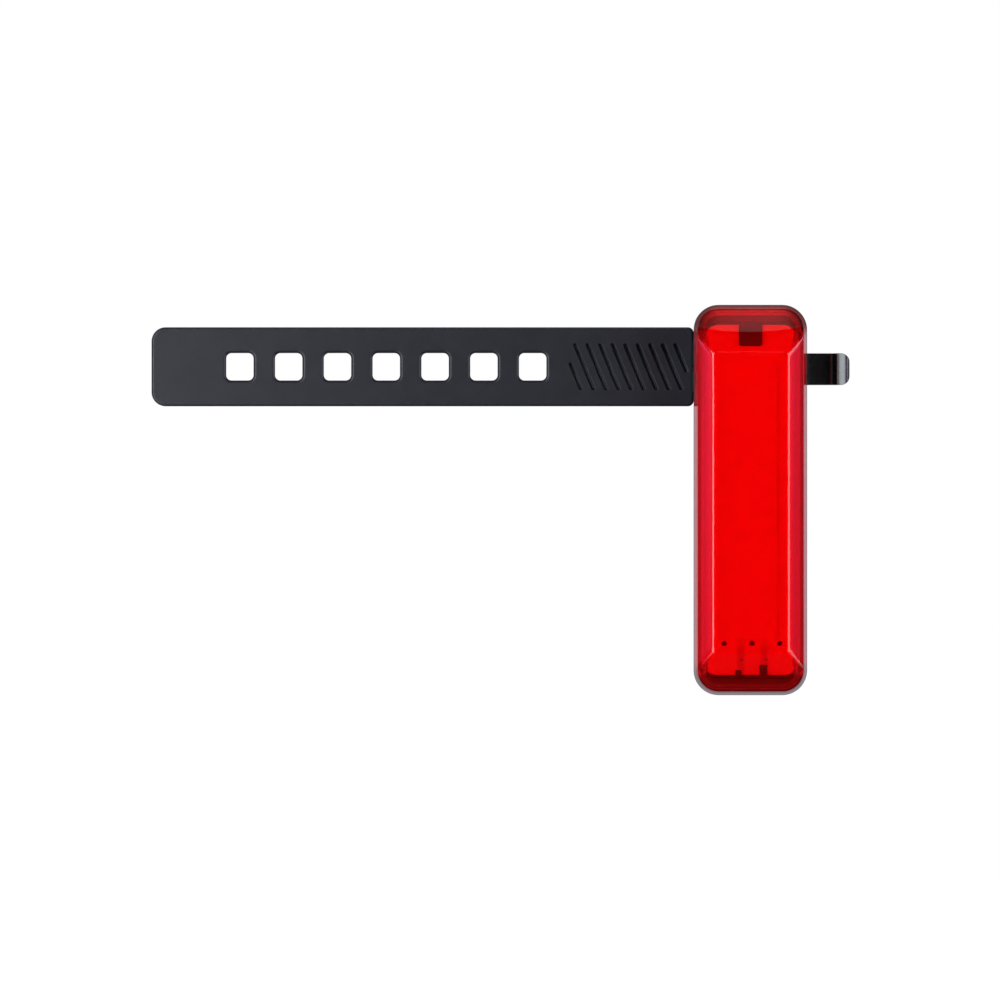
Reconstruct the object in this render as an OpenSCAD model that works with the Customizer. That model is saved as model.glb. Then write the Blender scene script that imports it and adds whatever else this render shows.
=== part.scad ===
// Bicycle rear light on a perforated silicone strap.
// The seat post's axis is Z, the strap's middle height is z = 0, and the lens faces -Y.
// Depths named *_d are distances in front of the post's axis, so a depth d lies at y = -d.

/* [Light body] */
// Width of the rear housing, the widest part of the light
housing_w = 23.2; // [22:0.1:26]
// Height of the rear housing
housing_h = 79.8; // [78:0.1:90]
// Corner radius of the housing's outline
corner_r = 5.1; // [4:0.1:6]
// Depth of the rear housing from its back to the parting line
housing_depth = 8; // [7.6:0.1:10]
// Width of the chamfer round the housing's back
back_chamfer = 2.4; // [1.6:0.1:2.6]
// Length of that chamfer along the depth
back_chamfer_d = 2.5; // [1.6:0.1:2.8]
// How much the housing's side walls lean in towards the back
housing_draft = 0.5; // [0.2:0.05:0.8]
// Thickness of the housing's back wall
back_wall = 1.4; // [1.2:0.1:1.6]
// Thickness of the housing's side walls at the parting line
side_wall = 2.85; // [2.7:0.05:3.1]
// Thickness of the top end wall, which guides the button
top_wall = 2.6; // [2.2:0.1:3]
// Thickness of the bottom end wall, which holds the port's cover
bottom_wall = 3.4; // [3.2:0.1:3.6]
// Distance of the strap's middle below the housing's top
strap_drop = 12.6; // [12.4:0.1:13.5]

/* [Lens] */
// Step from the housing's edge in to the lens's rim
rim_step = 0.25; // [0.1:0.05:0.4]
// Wall thickness of the lens
lens_wall = 1.3; // [1.2:0.05:1.5]
// Depth of the lens's side wall, up to the shoulder
shoulder_rise = 6.4; // [6.2:0.1:8]
// How much the lens's side wall leans in up to the shoulder
lens_draft = 0.8; // [0.5:0.05:0.9]
// Height of the raised window above the shoulder
window_rise = 2.6; // [1.5:0.1:3]
// Distance of the window's flat front from the lens's sides
window_side = 3.85; // [3.4:0.05:4.5]
// Distance of the window's flat front from the lens's ends
window_end = 8.8; // [8.2:0.1:10]
// Length of the slope at each end of the window
window_slope = 3.6; // [2.5:0.1:4]
// Shift of the window along the light
window_shift = -0.5; // [-1:0.1:1]
// Fall of the end shelf per millimetre beyond the window
shelf_fall = 0.2; // [0:0.01:0.25]
// Width of the seal in the lens's rim
seal_w = 0.8; // [0.6:0.05:0.9]
// Thickness of the seal
seal_t = 0.6; // [0.4:0.05:0.8]
// Height of the housing's tongue inside the lens
tongue_rise = 2.2; // [1.8:0.1:2.4]
// Length of each snap lug along the light
snap_l = 3.2; // [2:0.1:4]
// How far a snap lug stands out of the tongue
snap_out = 0.45; // [0.3:0.05:0.5]
// Thickness of a snap lug along the depth
snap_t = 0.9; // [0.6:0.1:1]
// Height of the upper snap lugs from the light's middle
snap_z_top = 24; // [20:0.5:26]
// Height of the lower snap lugs from the light's middle
snap_z_bottom = -26; // [-28:0.5:-20]

/* [Boards and battery] */
// Thickness of each circuit board
board_t = 1; // [0.8:0.1:1.2]
// Corner radius of the main board and of the lamp strip
board_r = 1; // [0.5:0.1:1.5]
// Distance of the main board's back from the housing's back
board_stand = 6.9; // [6.6:0.1:7]
// Gap between the main board's edge and the housing's inside
board_side_gap = 0.55; // [0.35:0.05:1]
// Gap between the two boards, filled by the carrier
board_gap = 2.7; // [2.4:0.1:2.8]
// Wall of the carrier frame
carrier_wall = 1.4; // [1:0.1:2]
// Distance of the white lamp board's sides from the lens's inside
led_side_gap = 0.75; // [0.7:0.05:1.2]
// Distance of the lamp board's ends from the lens's inside
led_end_gap = 2.6; // [2.4:0.1:3.2]
// Corner radius of the lamp board
led_board_r = 2.7; // [1.5:0.1:3]
// Width of the clip that holds the lamp board at its top
clip_w = 4.6; // [3:0.1:6]
// Length of that clip, down from the lamp board's top edge
clip_l = 4.8; // [3:0.1:5]
// Radius of that clip's lower corners
clip_r = 0.6; // [0.3:0.1:1]
// How far the clip and the posts stand above the lamp board
clip_proud = 0.4; // [0.2:0.05:0.5]
// Distance of the lamp strip from the lamp board's sides
strip_side = 3.85; // [3.2:0.05:5]
// Distance of the lamp strip from the lamp board's ends
strip_end = 7.25; // [7.2:0.05:10]
// Thickness of the lamp strip
strip_t = 0.4; // [0.3:0.1:1]
// Diameter of each charge-level window in the lamp board
window_hole_d = 1.1; // [0.8:0.05:1.5]
// Distance of the outer charge-level window from the lamp board's side
window_hole_side = 3.3; // [3.2:0.1:5]
// Distance of the middle charge-level window from the light's middle
window_hole_x = 0.3; // [0:0.1:0.5]
// Height of the charge-level windows above the lamp board's bottom edge
window_hole_rise = 6.4; // [5.5:0.05:6.5]
// Radius of each pin that joins the two boards
lamp_pin_r = 0.3; // [0.25:0.05:0.4]
// Height of those pins above the lamp board's bottom edge
lamp_pin_rise = 3.6; // [3.4:0.1:4.2]
// How far each of those pins stands above the lamp board
lamp_pin_proud = 0.3; // [0.2:0.1:0.5]
// Gap between the battery's sides and the housing's inside
battery_side_gap = 0.75; // [0.5:0.05:2]
// Gap between the battery's lower end and the charging socket
battery_end_gap = 0.7; // [0.4:0.1:3]
// Corner radius of the battery
battery_r = 1.5; // [1:0.1:2]
// Margin between the foam bed's edge and the battery's
foam_margin = 1.8; // [1:0.1:3]
// Thickness of the battery's foam bed
foam_t = 0.4; // [0.3:0.05:0.6]
// Gap between the battery and the main board
battery_gap = 0.4; // [0.2:0.05:0.6]
// Radius of each battery lead
lead_r = 0.55; // [0.4:0.05:0.6]

/* [Power button] */
// Width of the button's cap
button_w = 8; // [6:0.1:9]
// Depth of the button's cap
button_d = 3.6; // [3:0.1:3.8]
// Width of the flange that keeps the button in
button_lip = 0.6; // [0.4:0.05:0.7]
// Thickness of that flange
button_lip_t = 0.8; // [0.6:0.1:1]
// Travel of the button
button_travel = 0.5; // [0.3:0.05:0.6]
// Length of the switch body along the light
switch_h = 3.1; // [2.6:0.1:3.4]
// Width of the switch body
switch_w = 6; // [5:0.1:6.5]
// Depth of the switch body
switch_d = 3.5; // [3.2:0.1:3.8]
// Radius of the switch's plunger
plunger_r = 0.93; // [0.7:0.01:1.1]
// How far the plunger stands out of the switch body
plunger_out = 1; // [0.9:0.05:1.2]
// Length of the button's stem, from the flange to the plunger
stem_l = 0.8; // [0.6:0.1:1]

/* [Charging port] */
// Width of the socket's shell
socket_w = 8.94; // [8.8:0.01:9]
// Depth of the socket's shell
socket_d = 3.26; // [3.2:0.01:3.3]
// Length of the socket
socket_l = 7.3; // [6.5:0.1:7.4]
// Thickness of the socket's shell
socket_wall = 0.3; // [0.2:0.01:0.35]
// Depth of the recess that the cover lies in
cover_recess = 1.25; // [1.1:0.05:1.4]
// Thickness of the cover's plate
cover_t = 1.1; // [0.9:0.05:1.1]
// Height of the cover's plate across the port
cover_d = 4.5; // [4.2:0.05:4.7]
// Reach of the cover from its hinge to its free end
cover_l = 13.1; // [12:0.1:13.4]
// Distance of the cover's hinge from the light's middle
hinge_x = 6.7; // [6.5:0.1:7]
// Radius of the cover's hinge bead
bead_r = 0.6; // [0.5:0.05:0.65]
// Length of the plug that the cover pushes into the socket
plug_l = 1.4; // [1:0.1:1.6]

/* [Bracket and saddle] */
// Radius of the seat post that the saddle fits
post_r = 13.6; // [12.7:0.1:15.8]
// Thickness of the rubber saddle pad
pad_t = 1.8; // [1.4:0.1:2]
// Thickness of the bracket at its middle
plate_t = 3.6; // [3.4:0.1:5]
// Thickness of the bracket's wings
wing_t = 1.8; // [1.4:0.1:2.4]
// Half width of the saddle's wings
wing_x = 11.2; // [11:0.1:11.5]
// Distance of the bracket's top edge below the housing's top
bracket_inset = 1; // [0.5:0.1:1.6]
// Depth of the bracket's bottom edge below the strap's middle
bracket_bottom = 35.5; // [34:0.5:44]
// Border of bracket left round the pad at its top and bottom
pad_border = 0.7; // [0.4:0.1:1]
// Half width of the bracket's neck, where the strap and hook pass
waist_x = 6.4; // [6:0.1:6.4]
// Radius of each saddle plug
plug_r = 1.6; // [1.2:0.1:1.8]
// Length of each saddle plug in the bracket
plug_d = 1.5; // [1:0.1:2]
// Radius of each bracket screw's shank
screw_r = 1.05; // [0.9:0.05:1.25]
// Radius of each bracket screw's head
head_r = 2.2; // [1.9:0.1:2.3]
// Thickness of each bracket screw's head
head_t = 1.4; // [1.1:0.1:1.5]
// Length of each bracket screw's shank
screw_l = 6; // [5:0.25:7]
// Distance of the lower screw below the strap's middle
screw_drop = 22; // [20:0.5:24]

/* [Hook] */
// Height of the hook
hook_h = 6.5; // [5:0.1:7]
// Thickness of the hook's arm
hook_t = 2.4; // [2:0.1:2.8]
// Reach of the hook from the light's middle
hook_reach = 20.4; // [19:0.1:22]
// Thickness of the hook's lip
lip_t = 2.8; // [2:0.1:3]
// Length of the lip beyond the arm
lip_l = 3.3; // [2.5:0.1:4]
// Fillet between the arm and the lip
lip_fillet = 1.3; // [0.6:0.1:1.6]
// Slope of the lip's ramp, which the strap slides up
lip_ramp = 26; // [10:1:30]
// Radius of the lip's ridge, next to the arm
ridge_r = 0.25; // [0.2:0.05:0.6]
// Bulge of the lip's ramp at its middle
ramp_bow = 0.15; // [0:0.05:0.3]
// Radius of the lip's outer edges
toe_r = 0.8; // [0.5:0.1:1]
// Corner radius of the lip's free side
lip_corner = 1.8; // [1:0.1:2.4]
// Height of the hook's middle below the strap's middle
hook_drop = 0.5; // [0:0.1:1]

/* [Strap] */
// Width of the strap
strap_w = 16.2; // [15:0.1:16.6]
// Thickness of the strap
strap_t = 2.4; // [2:0.1:2.6]
// Distance of the strap's free end from the light's middle
strap_reach = 122.6; // [115:0.5:150]
// Corner radius of the strap's free end
strap_end_r = 2.9; // [1:0.1:6]
// Corner radius of the strap's shoulders
shoulder_r = 1.2; // [0.6:0.1:2]
// Number of holes
hole_count = 7; // [5:1:8]
// Distance from one hole to the next
hole_pitch = 10; // [9:0.1:11]
// Side of each hole
hole_w = 5.6; // [5:0.1:6.2]
// Corner radius of each hole
hole_r = 1.1; // [0.5:0.1:1.6]
// Distance of the first hole from the light's middle
first_hole_x = 44.5; // [43:0.5:50]
// Number of grip grooves
groove_count = 10; // [4:1:12]
// Distance from one grip groove to the next
groove_pitch = 2.58; // [2:0.02:2.6]
// Width of each grip groove
groove_w = 0.7; // [0.4:0.05:1]
// Depth of each grip groove
groove_d = 0.9; // [0.2:0.05:1]
// Lean of the grip grooves from upright
groove_lean = 23; // [0:1:35]
// Share of the outer grooves' pitch that the field's edges cut off
groove_trim = 0.25; // [0.1:0.05:0.4]
// Height of the field of grip grooves
grip_h = 9.4; // [6:0.1:12]
// Distance of the grip field's near edge from the light's middle
grip_x = 12.7; // [12.5:0.1:14]
// Radius of the strap's pin
pin_r = 1; // [0.8:0.05:1.1]
// Distance of the pin from the light's middle
pin_x = 9.1; // [9:0.1:9.4]
// Distance of the pin behind the housing's back
pin_back = 2.6; // [2.5:0.1:2.8]
// Radius of the strap's knuckle
knuckle_r = 2.3; // [2:0.05:2.3]
// Length of the knuckle
knuckle_l = 10.8; // [8:0.1:11]
// Thickness of each bracket ear
ear_t = 1.8; // [1.4:0.1:2]
// Radius of each bracket ear
ear_r = 1.9; // [1.6:0.05:2]

/* [Fits] */
// Clearance of a piece that lies in a recess
seat_gap = 0.1; // [0.05:0.01:0.15]
// Radial clearance of a turning or sliding fit
run_gap = 0.06; // [0.02:0.01:0.09]
// Radial clearance of a pin or screw that stays put
press_gap = 0.01; // [0.005:0.005:0.02]
// Clearance of a moving piece from what it passes
pass_gap = 0.3; // [0.2:0.05:0.4]

/* [Hidden] */
$fn = 64;

// Overshoot of a cut past the face that it opens
cut = 1;

// Depths along -Y
cradle_r = post_r + pad_t;
back_d = cradle_r + plate_t;
chamfer_d = back_d + back_chamfer_d;
parting_d = back_d + housing_depth;
shoulder_d = parting_d + shoulder_rise;
front_d = shoulder_d + window_rise;
board_back_d = back_d + board_stand;
board_front_d = board_back_d + board_t;
led_back_d = board_front_d + board_gap;
led_front_d = led_back_d + board_t;
floor_d = back_d + back_wall;
wall_d = parting_d - chamfer_d;

// Heights along Z
light_z = strap_drop - housing_h / 2;
top_z = light_z + housing_h / 2;
bottom_z = light_z - housing_h / 2;

// The lens and the housing's inside
lens_w = housing_w - 2 * rim_step;
lens_h = housing_h - 2 * rim_step;
lens_r = corner_r - rim_step;
lens_lean = lens_draft / shoulder_rise;
cavity_w = housing_w - 2 * side_wall;
cavity_top = top_z - top_wall;
cavity_bottom = bottom_z + bottom_wall;
cavity_r = corner_r - side_wall;
inside_w = lens_w - 2 * lens_wall;
inside_h = lens_h - 2 * lens_wall;
window_w = lens_w - 2 * window_side;
window_h = lens_h - 2 * window_end;
tongue_w = inside_w - 2 * seat_gap;
tongue_h = inside_h - 2 * seat_gap;
tongue_r = lens_r - lens_wall - seat_gap;
seal_inset = lens_wall - seal_w;

// The boards, the lamp strip and the charge-level windows
main_board_w = cavity_w - 2 * board_side_gap;
led_board_w = inside_w - 2 * led_side_gap;
led_board_h = inside_h - 2 * led_end_gap;
strip_w = led_board_w - 2 * strip_side;
strip_h = led_board_h - 2 * strip_end;
window_hole_pitch = led_board_w / 2 - window_hole_side - window_hole_x;
window_hole_z = light_z - led_board_h / 2 + window_hole_rise;

// The button and its switch, from the top wall down
button_y = -(board_back_d - switch_d / 2);
button_top = top_z - housing_draft * (parting_d + button_y) / wall_d;
flange_top = cavity_top - seat_gap;
flange_bottom = flange_top - button_lip_t;
stem_bottom = flange_bottom - stem_l;
switch_top = stem_bottom - plunger_out;
plunger_bottom = switch_top - button_travel - 2 * seat_gap;
board_top = flange_bottom - button_travel - pass_gap;
board_bottom = cavity_bottom + pass_gap;

// The port in the bottom end
port_y = -(board_back_d - socket_d / 2);
end_z = bottom_z + housing_draft * (parting_d + port_y) / wall_d;
recess_z = end_z + cover_recess;
socket_mouth = recess_z + seat_gap;
hinge_z = recess_z - bead_r / 2;
recess_end_x = cover_l - hinge_x + 3 * seat_gap;
swing_end_x = hinge_x + cover_t + seat_gap;

// The battery between its foam and the main board
battery_back_d = floor_d + foam_t;
battery_front_d = board_back_d - battery_gap;
battery_top = -screw_drop - head_r - 3 * pass_gap;
battery_w = cavity_w - 2 * battery_side_gap;
battery_h = battery_top - socket_mouth - socket_l - battery_end_gap;

// The strap's pin and the bracket's ears
pin_y = -(back_d - pin_back);
ear_in = knuckle_l / 2 + pass_gap;
ear_out = ear_in + ear_t;
bracket_top = top_z - bracket_inset;
waist_z = strap_w / 2 + 2 * pass_gap;
hook_z = -hook_drop;

// The bracket's screws, from the cradle's face forward
head_back_d = cradle_r + seat_gap;
head_seat_d = head_back_d + head_t;
screw_tip_d = head_seat_d + screw_l;

// Circle-cornered rectangle about the origin
module rounded(w, h, r) {
    square([w - 2 * r, h], center = true);
    square([w, h - 2 * r], center = true);
    for (sx = [-1, 1], sy = [-1, 1])
        translate([sx * (w / 2 - r), sy * (h / 2 - r)])
            circle(r = r);
}

// Outline in x and z carried from depth d0 forward to depth d1
module forward(d0, d1) {
    translate([0, -d0, 0])
        rotate([90, 0, 0])
            linear_extrude(d1 - d0)
                children();
}

// Outline in x and y carried from height z0 up to z1
module upright(z0, z1) {
    translate([0, 0, z0])
        linear_extrude(z1 - z0)
            children();
}

// Round-cornered block between two depths, drawn in by a different inset at each
module drafted_block(w, h, r, d0, d1, inset0, inset1) {
    hull()
        for (sx = [-1, 1], sz = [-1, 1])
            translate([sx * (w / 2 - r), -d0, light_z + sz * (h / 2 - r)])
                rotate([90, 0, 0])
                    cylinder(r1 = r - inset0, r2 = r - inset1, h = d1 - d0);
}

// Straight slab of the light's outline shape
module light_slab(w, h, r, d0, d1) {
    forward(d0, d1)
        translate([0, light_z])
            rounded(w, h, r);
}

// The lens's form, drawn in by skin for its inside.
// A drafted block is trimmed by one profile seen from the side and one seen from the end.
module lens_form(skin) {
    start_d = parting_d - (skin > 0 ? cut : 0);
    flat_d = front_d - skin;
    edge_d = shoulder_d - skin;
    top_half = window_h / 2;
    base_half = top_half + window_slope;
    side_top = window_w / 2;
    side_base = lens_w / 2 - lens_draft - skin;
    side_lean = window_rise / (side_base - side_top);
    far = housing_h;
    middle_z = light_z + window_shift;
    intersection() {
        drafted_block(lens_w - 2 * skin, lens_h - 2 * skin, lens_r - skin, start_d, front_d,
            lens_lean * (start_d - parting_d), lens_lean * (front_d - parting_d));
        rotate([90, 0, 90])
            translate([0, 0, -housing_w])
                linear_extrude(2 * housing_w)
                    polygon([
                        [-start_d + cut, middle_z - far],
                        [-edge_d + shelf_fall * (far - base_half), middle_z - far],
                        [-edge_d, middle_z - base_half],
                        [-flat_d, middle_z - top_half],
                        [-flat_d, middle_z + top_half],
                        [-edge_d, middle_z + base_half],
                        [-edge_d + shelf_fall * (far - base_half), middle_z + far],
                        [-start_d + cut, middle_z + far]
                    ]);
        upright(bottom_z - cut, top_z + cut)
            polygon([
                [-housing_w, -start_d + cut],
                [-housing_w, -edge_d + side_lean * (housing_w - side_base)],
                [-side_top, -flat_d],
                [side_top, -flat_d],
                [housing_w, -edge_d + side_lean * (housing_w - side_base)],
                [housing_w, -start_d + cut]
            ]);
    }
}

// Ring that the seal fills in the lens's rim
module seal_ring() {
    difference() {
        light_slab(lens_w - 2 * seal_inset, lens_h - 2 * seal_inset, lens_r - seal_inset,
            parting_d, parting_d + seal_t);
        light_slab(tongue_w + 2 * seat_gap, tongue_h + 2 * seat_gap, tongue_r + seat_gap,
            parting_d - cut, parting_d + seal_t + cut);
    }
}

// The four lugs of the snap joint, grown by gap for their pockets
module snap_lugs(gap) {
    for (sx = [-1, 1], z = [snap_z_top, snap_z_bottom])
        translate([
            sx * tongue_w / 2 - snap_out - gap,
            -parting_d - seal_t - 2 * seat_gap - snap_t - gap,
            light_z + z - snap_l / 2 - gap
        ])
            cube([2 * (snap_out + gap), snap_t + 2 * gap, snap_l + 2 * gap]);
}

// Clear red cap with a raised, chamfered window
module lens_cover() {
    color([0.85, 0.02, 0.03, 0.6])
        difference() {
            lens_form(0);
            lens_form(lens_wall);
            seal_ring();
            snap_lugs(seat_gap);
        }
}

module lens_seal() {
    color([0.12, 0.12, 0.12])
        seal_ring();
}

// Round-ended slot in x and y
module slot(w, d) {
    square([w - d, d], center = true);
    for (sx = [-1, 1])
        translate([sx * (w - d) / 2, 0])
            circle(d = d);
}

// Black tray that closes the light from behind
module rear_housing() {
    chamfer_in = housing_draft + back_chamfer;
    color([0.06, 0.06, 0.07])
        difference() {
            union() {
                difference() {
                    union() {
                        drafted_block(housing_w, housing_h, corner_r, chamfer_d, parting_d,
                            housing_draft, 0);
                        drafted_block(housing_w, housing_h, corner_r, back_d, chamfer_d,
                            chamfer_in, housing_draft);
                        drafted_block(tongue_w, tongue_h, tongue_r, parting_d - cut,
                            parting_d + tongue_rise, -lens_lean * cut, lens_lean * tongue_rise);
                        snap_lugs(0);
                    }
                    forward(floor_d, parting_d + tongue_rise + cut)
                        translate([0, (cavity_top + cavity_bottom) / 2])
                            rounded(cavity_w, cavity_top - cavity_bottom, cavity_r);
                }
                for (z = [0, -screw_drop])
                    translate([0, -floor_d + cut / 2, z])
                        rotate([90, 0, 0])
                            cylinder(r = head_r + pass_gap, h = board_stand - back_wall + cut / 2);
            }
            for (z = [0, -screw_drop])
                translate([0, -back_d + cut, z])
                    rotate([90, 0, 0])
                        cylinder(r = screw_r + press_gap, h = cut + screw_tip_d + pass_gap - back_d);
            translate([0, button_y, 0])
                upright(cavity_top - cut, top_z + cut)
                    slot(button_w + 2 * seat_gap, button_d + 2 * seat_gap);
            translate([0, port_y, 0])
                upright(bottom_z - cut, cavity_bottom + cut)
                    slot(socket_w + 2 * seat_gap, socket_d + 2 * seat_gap);
            cover_pocket();
        }
}

// Recess in the bottom end for the port's cover, with a round seat for its hinge bead
module cover_pocket() {
    pocket_d = cover_d + 2 * seat_gap;
    translate([-swing_end_x, port_y - pocket_d / 2, bottom_z - cut])
        cube([swing_end_x + recess_end_x, pocket_d, recess_z - bottom_z + cut]);
    translate([-hinge_x, port_y - pocket_d / 2, hinge_z])
        rotate([-90, 0, 0])
            cylinder(r = bead_r + run_gap, h = pocket_d);
}

// Slots in the lamp board's bottom edge, as [x, width, height]
edge_slots = [[-2.5, 1, 1.2], [2.6, 1.4, 2.3]];

// White board that shows bright behind the window
module led_board() {
    board_end = led_board_h / 2;
    color([0.93, 0.93, 0.92])
        difference() {
            light_slab(led_board_w, led_board_h, led_board_r, led_back_d, led_front_d);
            forward(led_back_d - cut, led_front_d + cut) {
                translate([0, light_z + board_end])
                    rounded(clip_w + 2 * seat_gap, 2 * (clip_l + seat_gap), clip_r + seat_gap);
                for (s = edge_slots)
                    translate([s[0], light_z - board_end])
                        square([s[1] + 2 * seat_gap, 2 * (s[2] + seat_gap)], center = true);
                for (i = [-1:1])
                    translate([window_hole_x + i * window_hole_pitch, window_hole_z])
                        circle(d = window_hole_d);
                for (x = lamp_pin_x)
                    translate([x, light_z - board_end + lamp_pin_rise])
                        circle(r = lamp_pin_r + press_gap);
            }
        }
}

// Pins that bring power from the main board to the lamp board
lamp_pin_x = [-2, 3.2];
module lamp_pins() {
    color([0.75, 0.75, 0.78])
        forward(board_front_d, led_front_d + lamp_pin_proud)
            for (x = lamp_pin_x)
                translate([x, light_z - led_board_h / 2 + lamp_pin_rise])
                    circle(r = lamp_pin_r);
}

// Strip of lamp chips under one soft coating
module led_strip() {
    color([0.95, 0.9, 0.75])
        light_slab(strip_w, strip_h, board_r, led_front_d, led_front_d + strip_t);
}

// Black frame between the boards, with the clip and posts that hold the lamp board
module board_carrier() {
    frame_w = cavity_w - 4 * seat_gap;
    frame_top = light_z + led_board_h / 2;
    frame_bottom = cavity_bottom + 2 * seat_gap;
    frame_z = (frame_top + frame_bottom) / 2;
    frame_h = frame_top - frame_bottom;
    frame_r = cavity_r - 2 * seat_gap;
    front_face = led_front_d + clip_proud;
    color([0.08, 0.08, 0.08])
        union() {
            difference() {
                forward(board_front_d, led_back_d)
                    translate([0, frame_z])
                        rounded(frame_w, frame_h, frame_r);
                forward(board_front_d - cut, led_back_d + cut)
                    translate([0, frame_z])
                        square([frame_w - 2 * carrier_wall, frame_h - 2 * carrier_wall], center = true);
            }
            forward(led_back_d - board_t, front_face)
                translate([0, frame_top - clip_l / 2])
                    union() {
                        rounded(clip_w, clip_l, clip_r);
                        translate([-clip_w / 2, 0])
                            square([clip_w, clip_l / 2]);
                    }
            for (s = edge_slots)
                forward(led_back_d - board_t, front_face)
                    translate([s[0] - s[1] / 2, light_z - led_board_h / 2])
                        square([s[1], s[2]]);
        }
}

module main_board() {
    color([0.05, 0.3, 0.14])
        forward(board_back_d, board_front_d)
            translate([0, (board_top + board_bottom) / 2])
                rounded(main_board_w, board_top - board_bottom, board_r);
}

// Packages on the main board's back, as [x, height above the strap's middle, width, height, depth]
chip_list = [[0, -8, 5, 5, 1], [-4.6, -13, 3, 1.6, 1], [4.6, -13, 4, 4, 2], [5, 4, 2, 1.2, 0.8]];

module board_chips() {
    color([0.1, 0.1, 0.1])
        for (c = chip_list)
            translate([c[0] - c[2] / 2, -board_back_d, c[1] - c[3] / 2])
                cube([c[2], c[4], c[3]]);
}

// Three charge-level lamps behind the windows in the lamp board
module charge_leds() {
    lamp_w = 1.6;
    lamp_h = 0.8;
    lamp_t = 0.7;
    color([0.9, 0.9, 0.8])
        for (i = [-1:1])
            translate([window_hole_x + i * window_hole_pitch, -board_front_d, window_hole_z])
                translate([-lamp_w / 2, -lamp_t, -lamp_h / 2])
                    cube([lamp_w, lamp_t, lamp_h]);
}

module battery_cell() {
    color([0.72, 0.74, 0.76])
        forward(battery_back_d, battery_front_d)
            translate([0, battery_top - battery_h / 2])
                rounded(battery_w, battery_h, battery_r);
}

module battery_foam() {
    color([0.2, 0.2, 0.22])
        forward(floor_d, battery_back_d)
            translate([0, battery_top - battery_h / 2])
                square([battery_w - 2 * foam_margin, battery_h - 2 * foam_margin], center = true);
}

// Two short leads from the battery's top edge to pads on the main board
module battery_leads() {
    lead_d = battery_front_d - battery_r;
    lead_rise = 2;
    color([0.7, 0.05, 0.05])
        for (sx = [-1, 1])
            translate([sx * battery_w / 3, -lead_d, battery_top]) {
                cylinder(r = lead_r, h = lead_rise);
                translate([0, 0, lead_rise]) {
                    sphere(r = lead_r);
                    rotate([90, 0, 0])
                        cylinder(r = lead_r, h = board_back_d - lead_d);
                }
            }
}

// Steel shell of the charging socket
module usb_socket() {
    inner_w = socket_w - 2 * socket_wall;
    inner_d = socket_d - 2 * socket_wall;
    color([0.7, 0.7, 0.72])
        translate([0, port_y, 0])
            difference() {
                upright(socket_mouth, socket_mouth + socket_l)
                    slot(socket_w, socket_d);
                upright(socket_mouth - cut, socket_mouth + socket_l - 2 * socket_wall)
                    slot(inner_w, inner_d);
            }
}

// Contact blade inside the socket
module usb_contacts() {
    blade_w = 6.7;
    blade_t = 0.7;
    blade_start = socket_mouth + plug_l + pass_gap;
    blade_end = socket_mouth + socket_l - 2 * socket_wall;
    color([0.1, 0.1, 0.1])
        translate([-blade_w / 2, port_y - blade_t / 2, blade_start])
            cube([blade_w, blade_t, blade_end - blade_start]);
}

// Silicone cover of the charging port, with its plug and hinge bead
module usb_cover() {
    plate_top = recess_z - seat_gap;
    plug_w = socket_w - 2 * socket_wall - 2 * pass_gap;
    plug_h = socket_d - 2 * socket_wall - 2 * pass_gap;
    end_r = cover_d / 4;
    color([0.13, 0.13, 0.14])
        translate([0, port_y, 0]) {
            upright(plate_top - cover_t, plate_top) {
                translate([-hinge_x, -cover_d / 2])
                    square([cover_l / 2, cover_d]);
                translate([cover_l / 2 - hinge_x, 0])
                    rounded(cover_l, cover_d, end_r);
            }
            upright(plate_top - cover_t / 2, recess_z + plug_l)
                slot(plug_w, plug_h);
            translate([-hinge_x, -cover_d / 2, hinge_z])
                rotate([-90, 0, 0])
                    cylinder(r = bead_r, h = cover_d);
        }
}

module switch_body() {
    color([0.1, 0.1, 0.1])
        difference() {
            translate([-switch_w / 2, -board_back_d, switch_top - switch_h])
                cube([switch_w, switch_d, switch_h]);
            translate([0, button_y, plunger_bottom - button_travel - seat_gap])
                cylinder(r = plunger_r + run_gap, h = switch_h);
        }
}

module switch_plunger() {
    color([0.85, 0.85, 0.82])
        translate([0, button_y, plunger_bottom])
            cylinder(r = plunger_r, h = stem_bottom - plunger_bottom);
}

// Button cap in the top end, with a flange behind the wall and a stem on the switch
module power_button() {
    color([0.1, 0.1, 0.11])
        translate([0, button_y, 0]) {
            upright(flange_bottom, button_top)
                slot(button_w, button_d);
            upright(flange_bottom, flange_top)
                slot(button_w + 2 * button_lip, button_d + 2 * button_lip);
            upright(stem_bottom, flange_bottom)
                circle(r = 1.5 * plunger_r);
        }
}

// Trims a ring about the post to wings below the strap and to a narrow neck beside it
module saddle_trim(z0, z1) {
    translate([-wing_x, -back_d, z0])
        cube([2 * wing_x, back_d, -waist_z - z0]);
    translate([-waist_x, -back_d, z0])
        cube([2 * waist_x, back_d, z1 - z0]);
}

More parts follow.
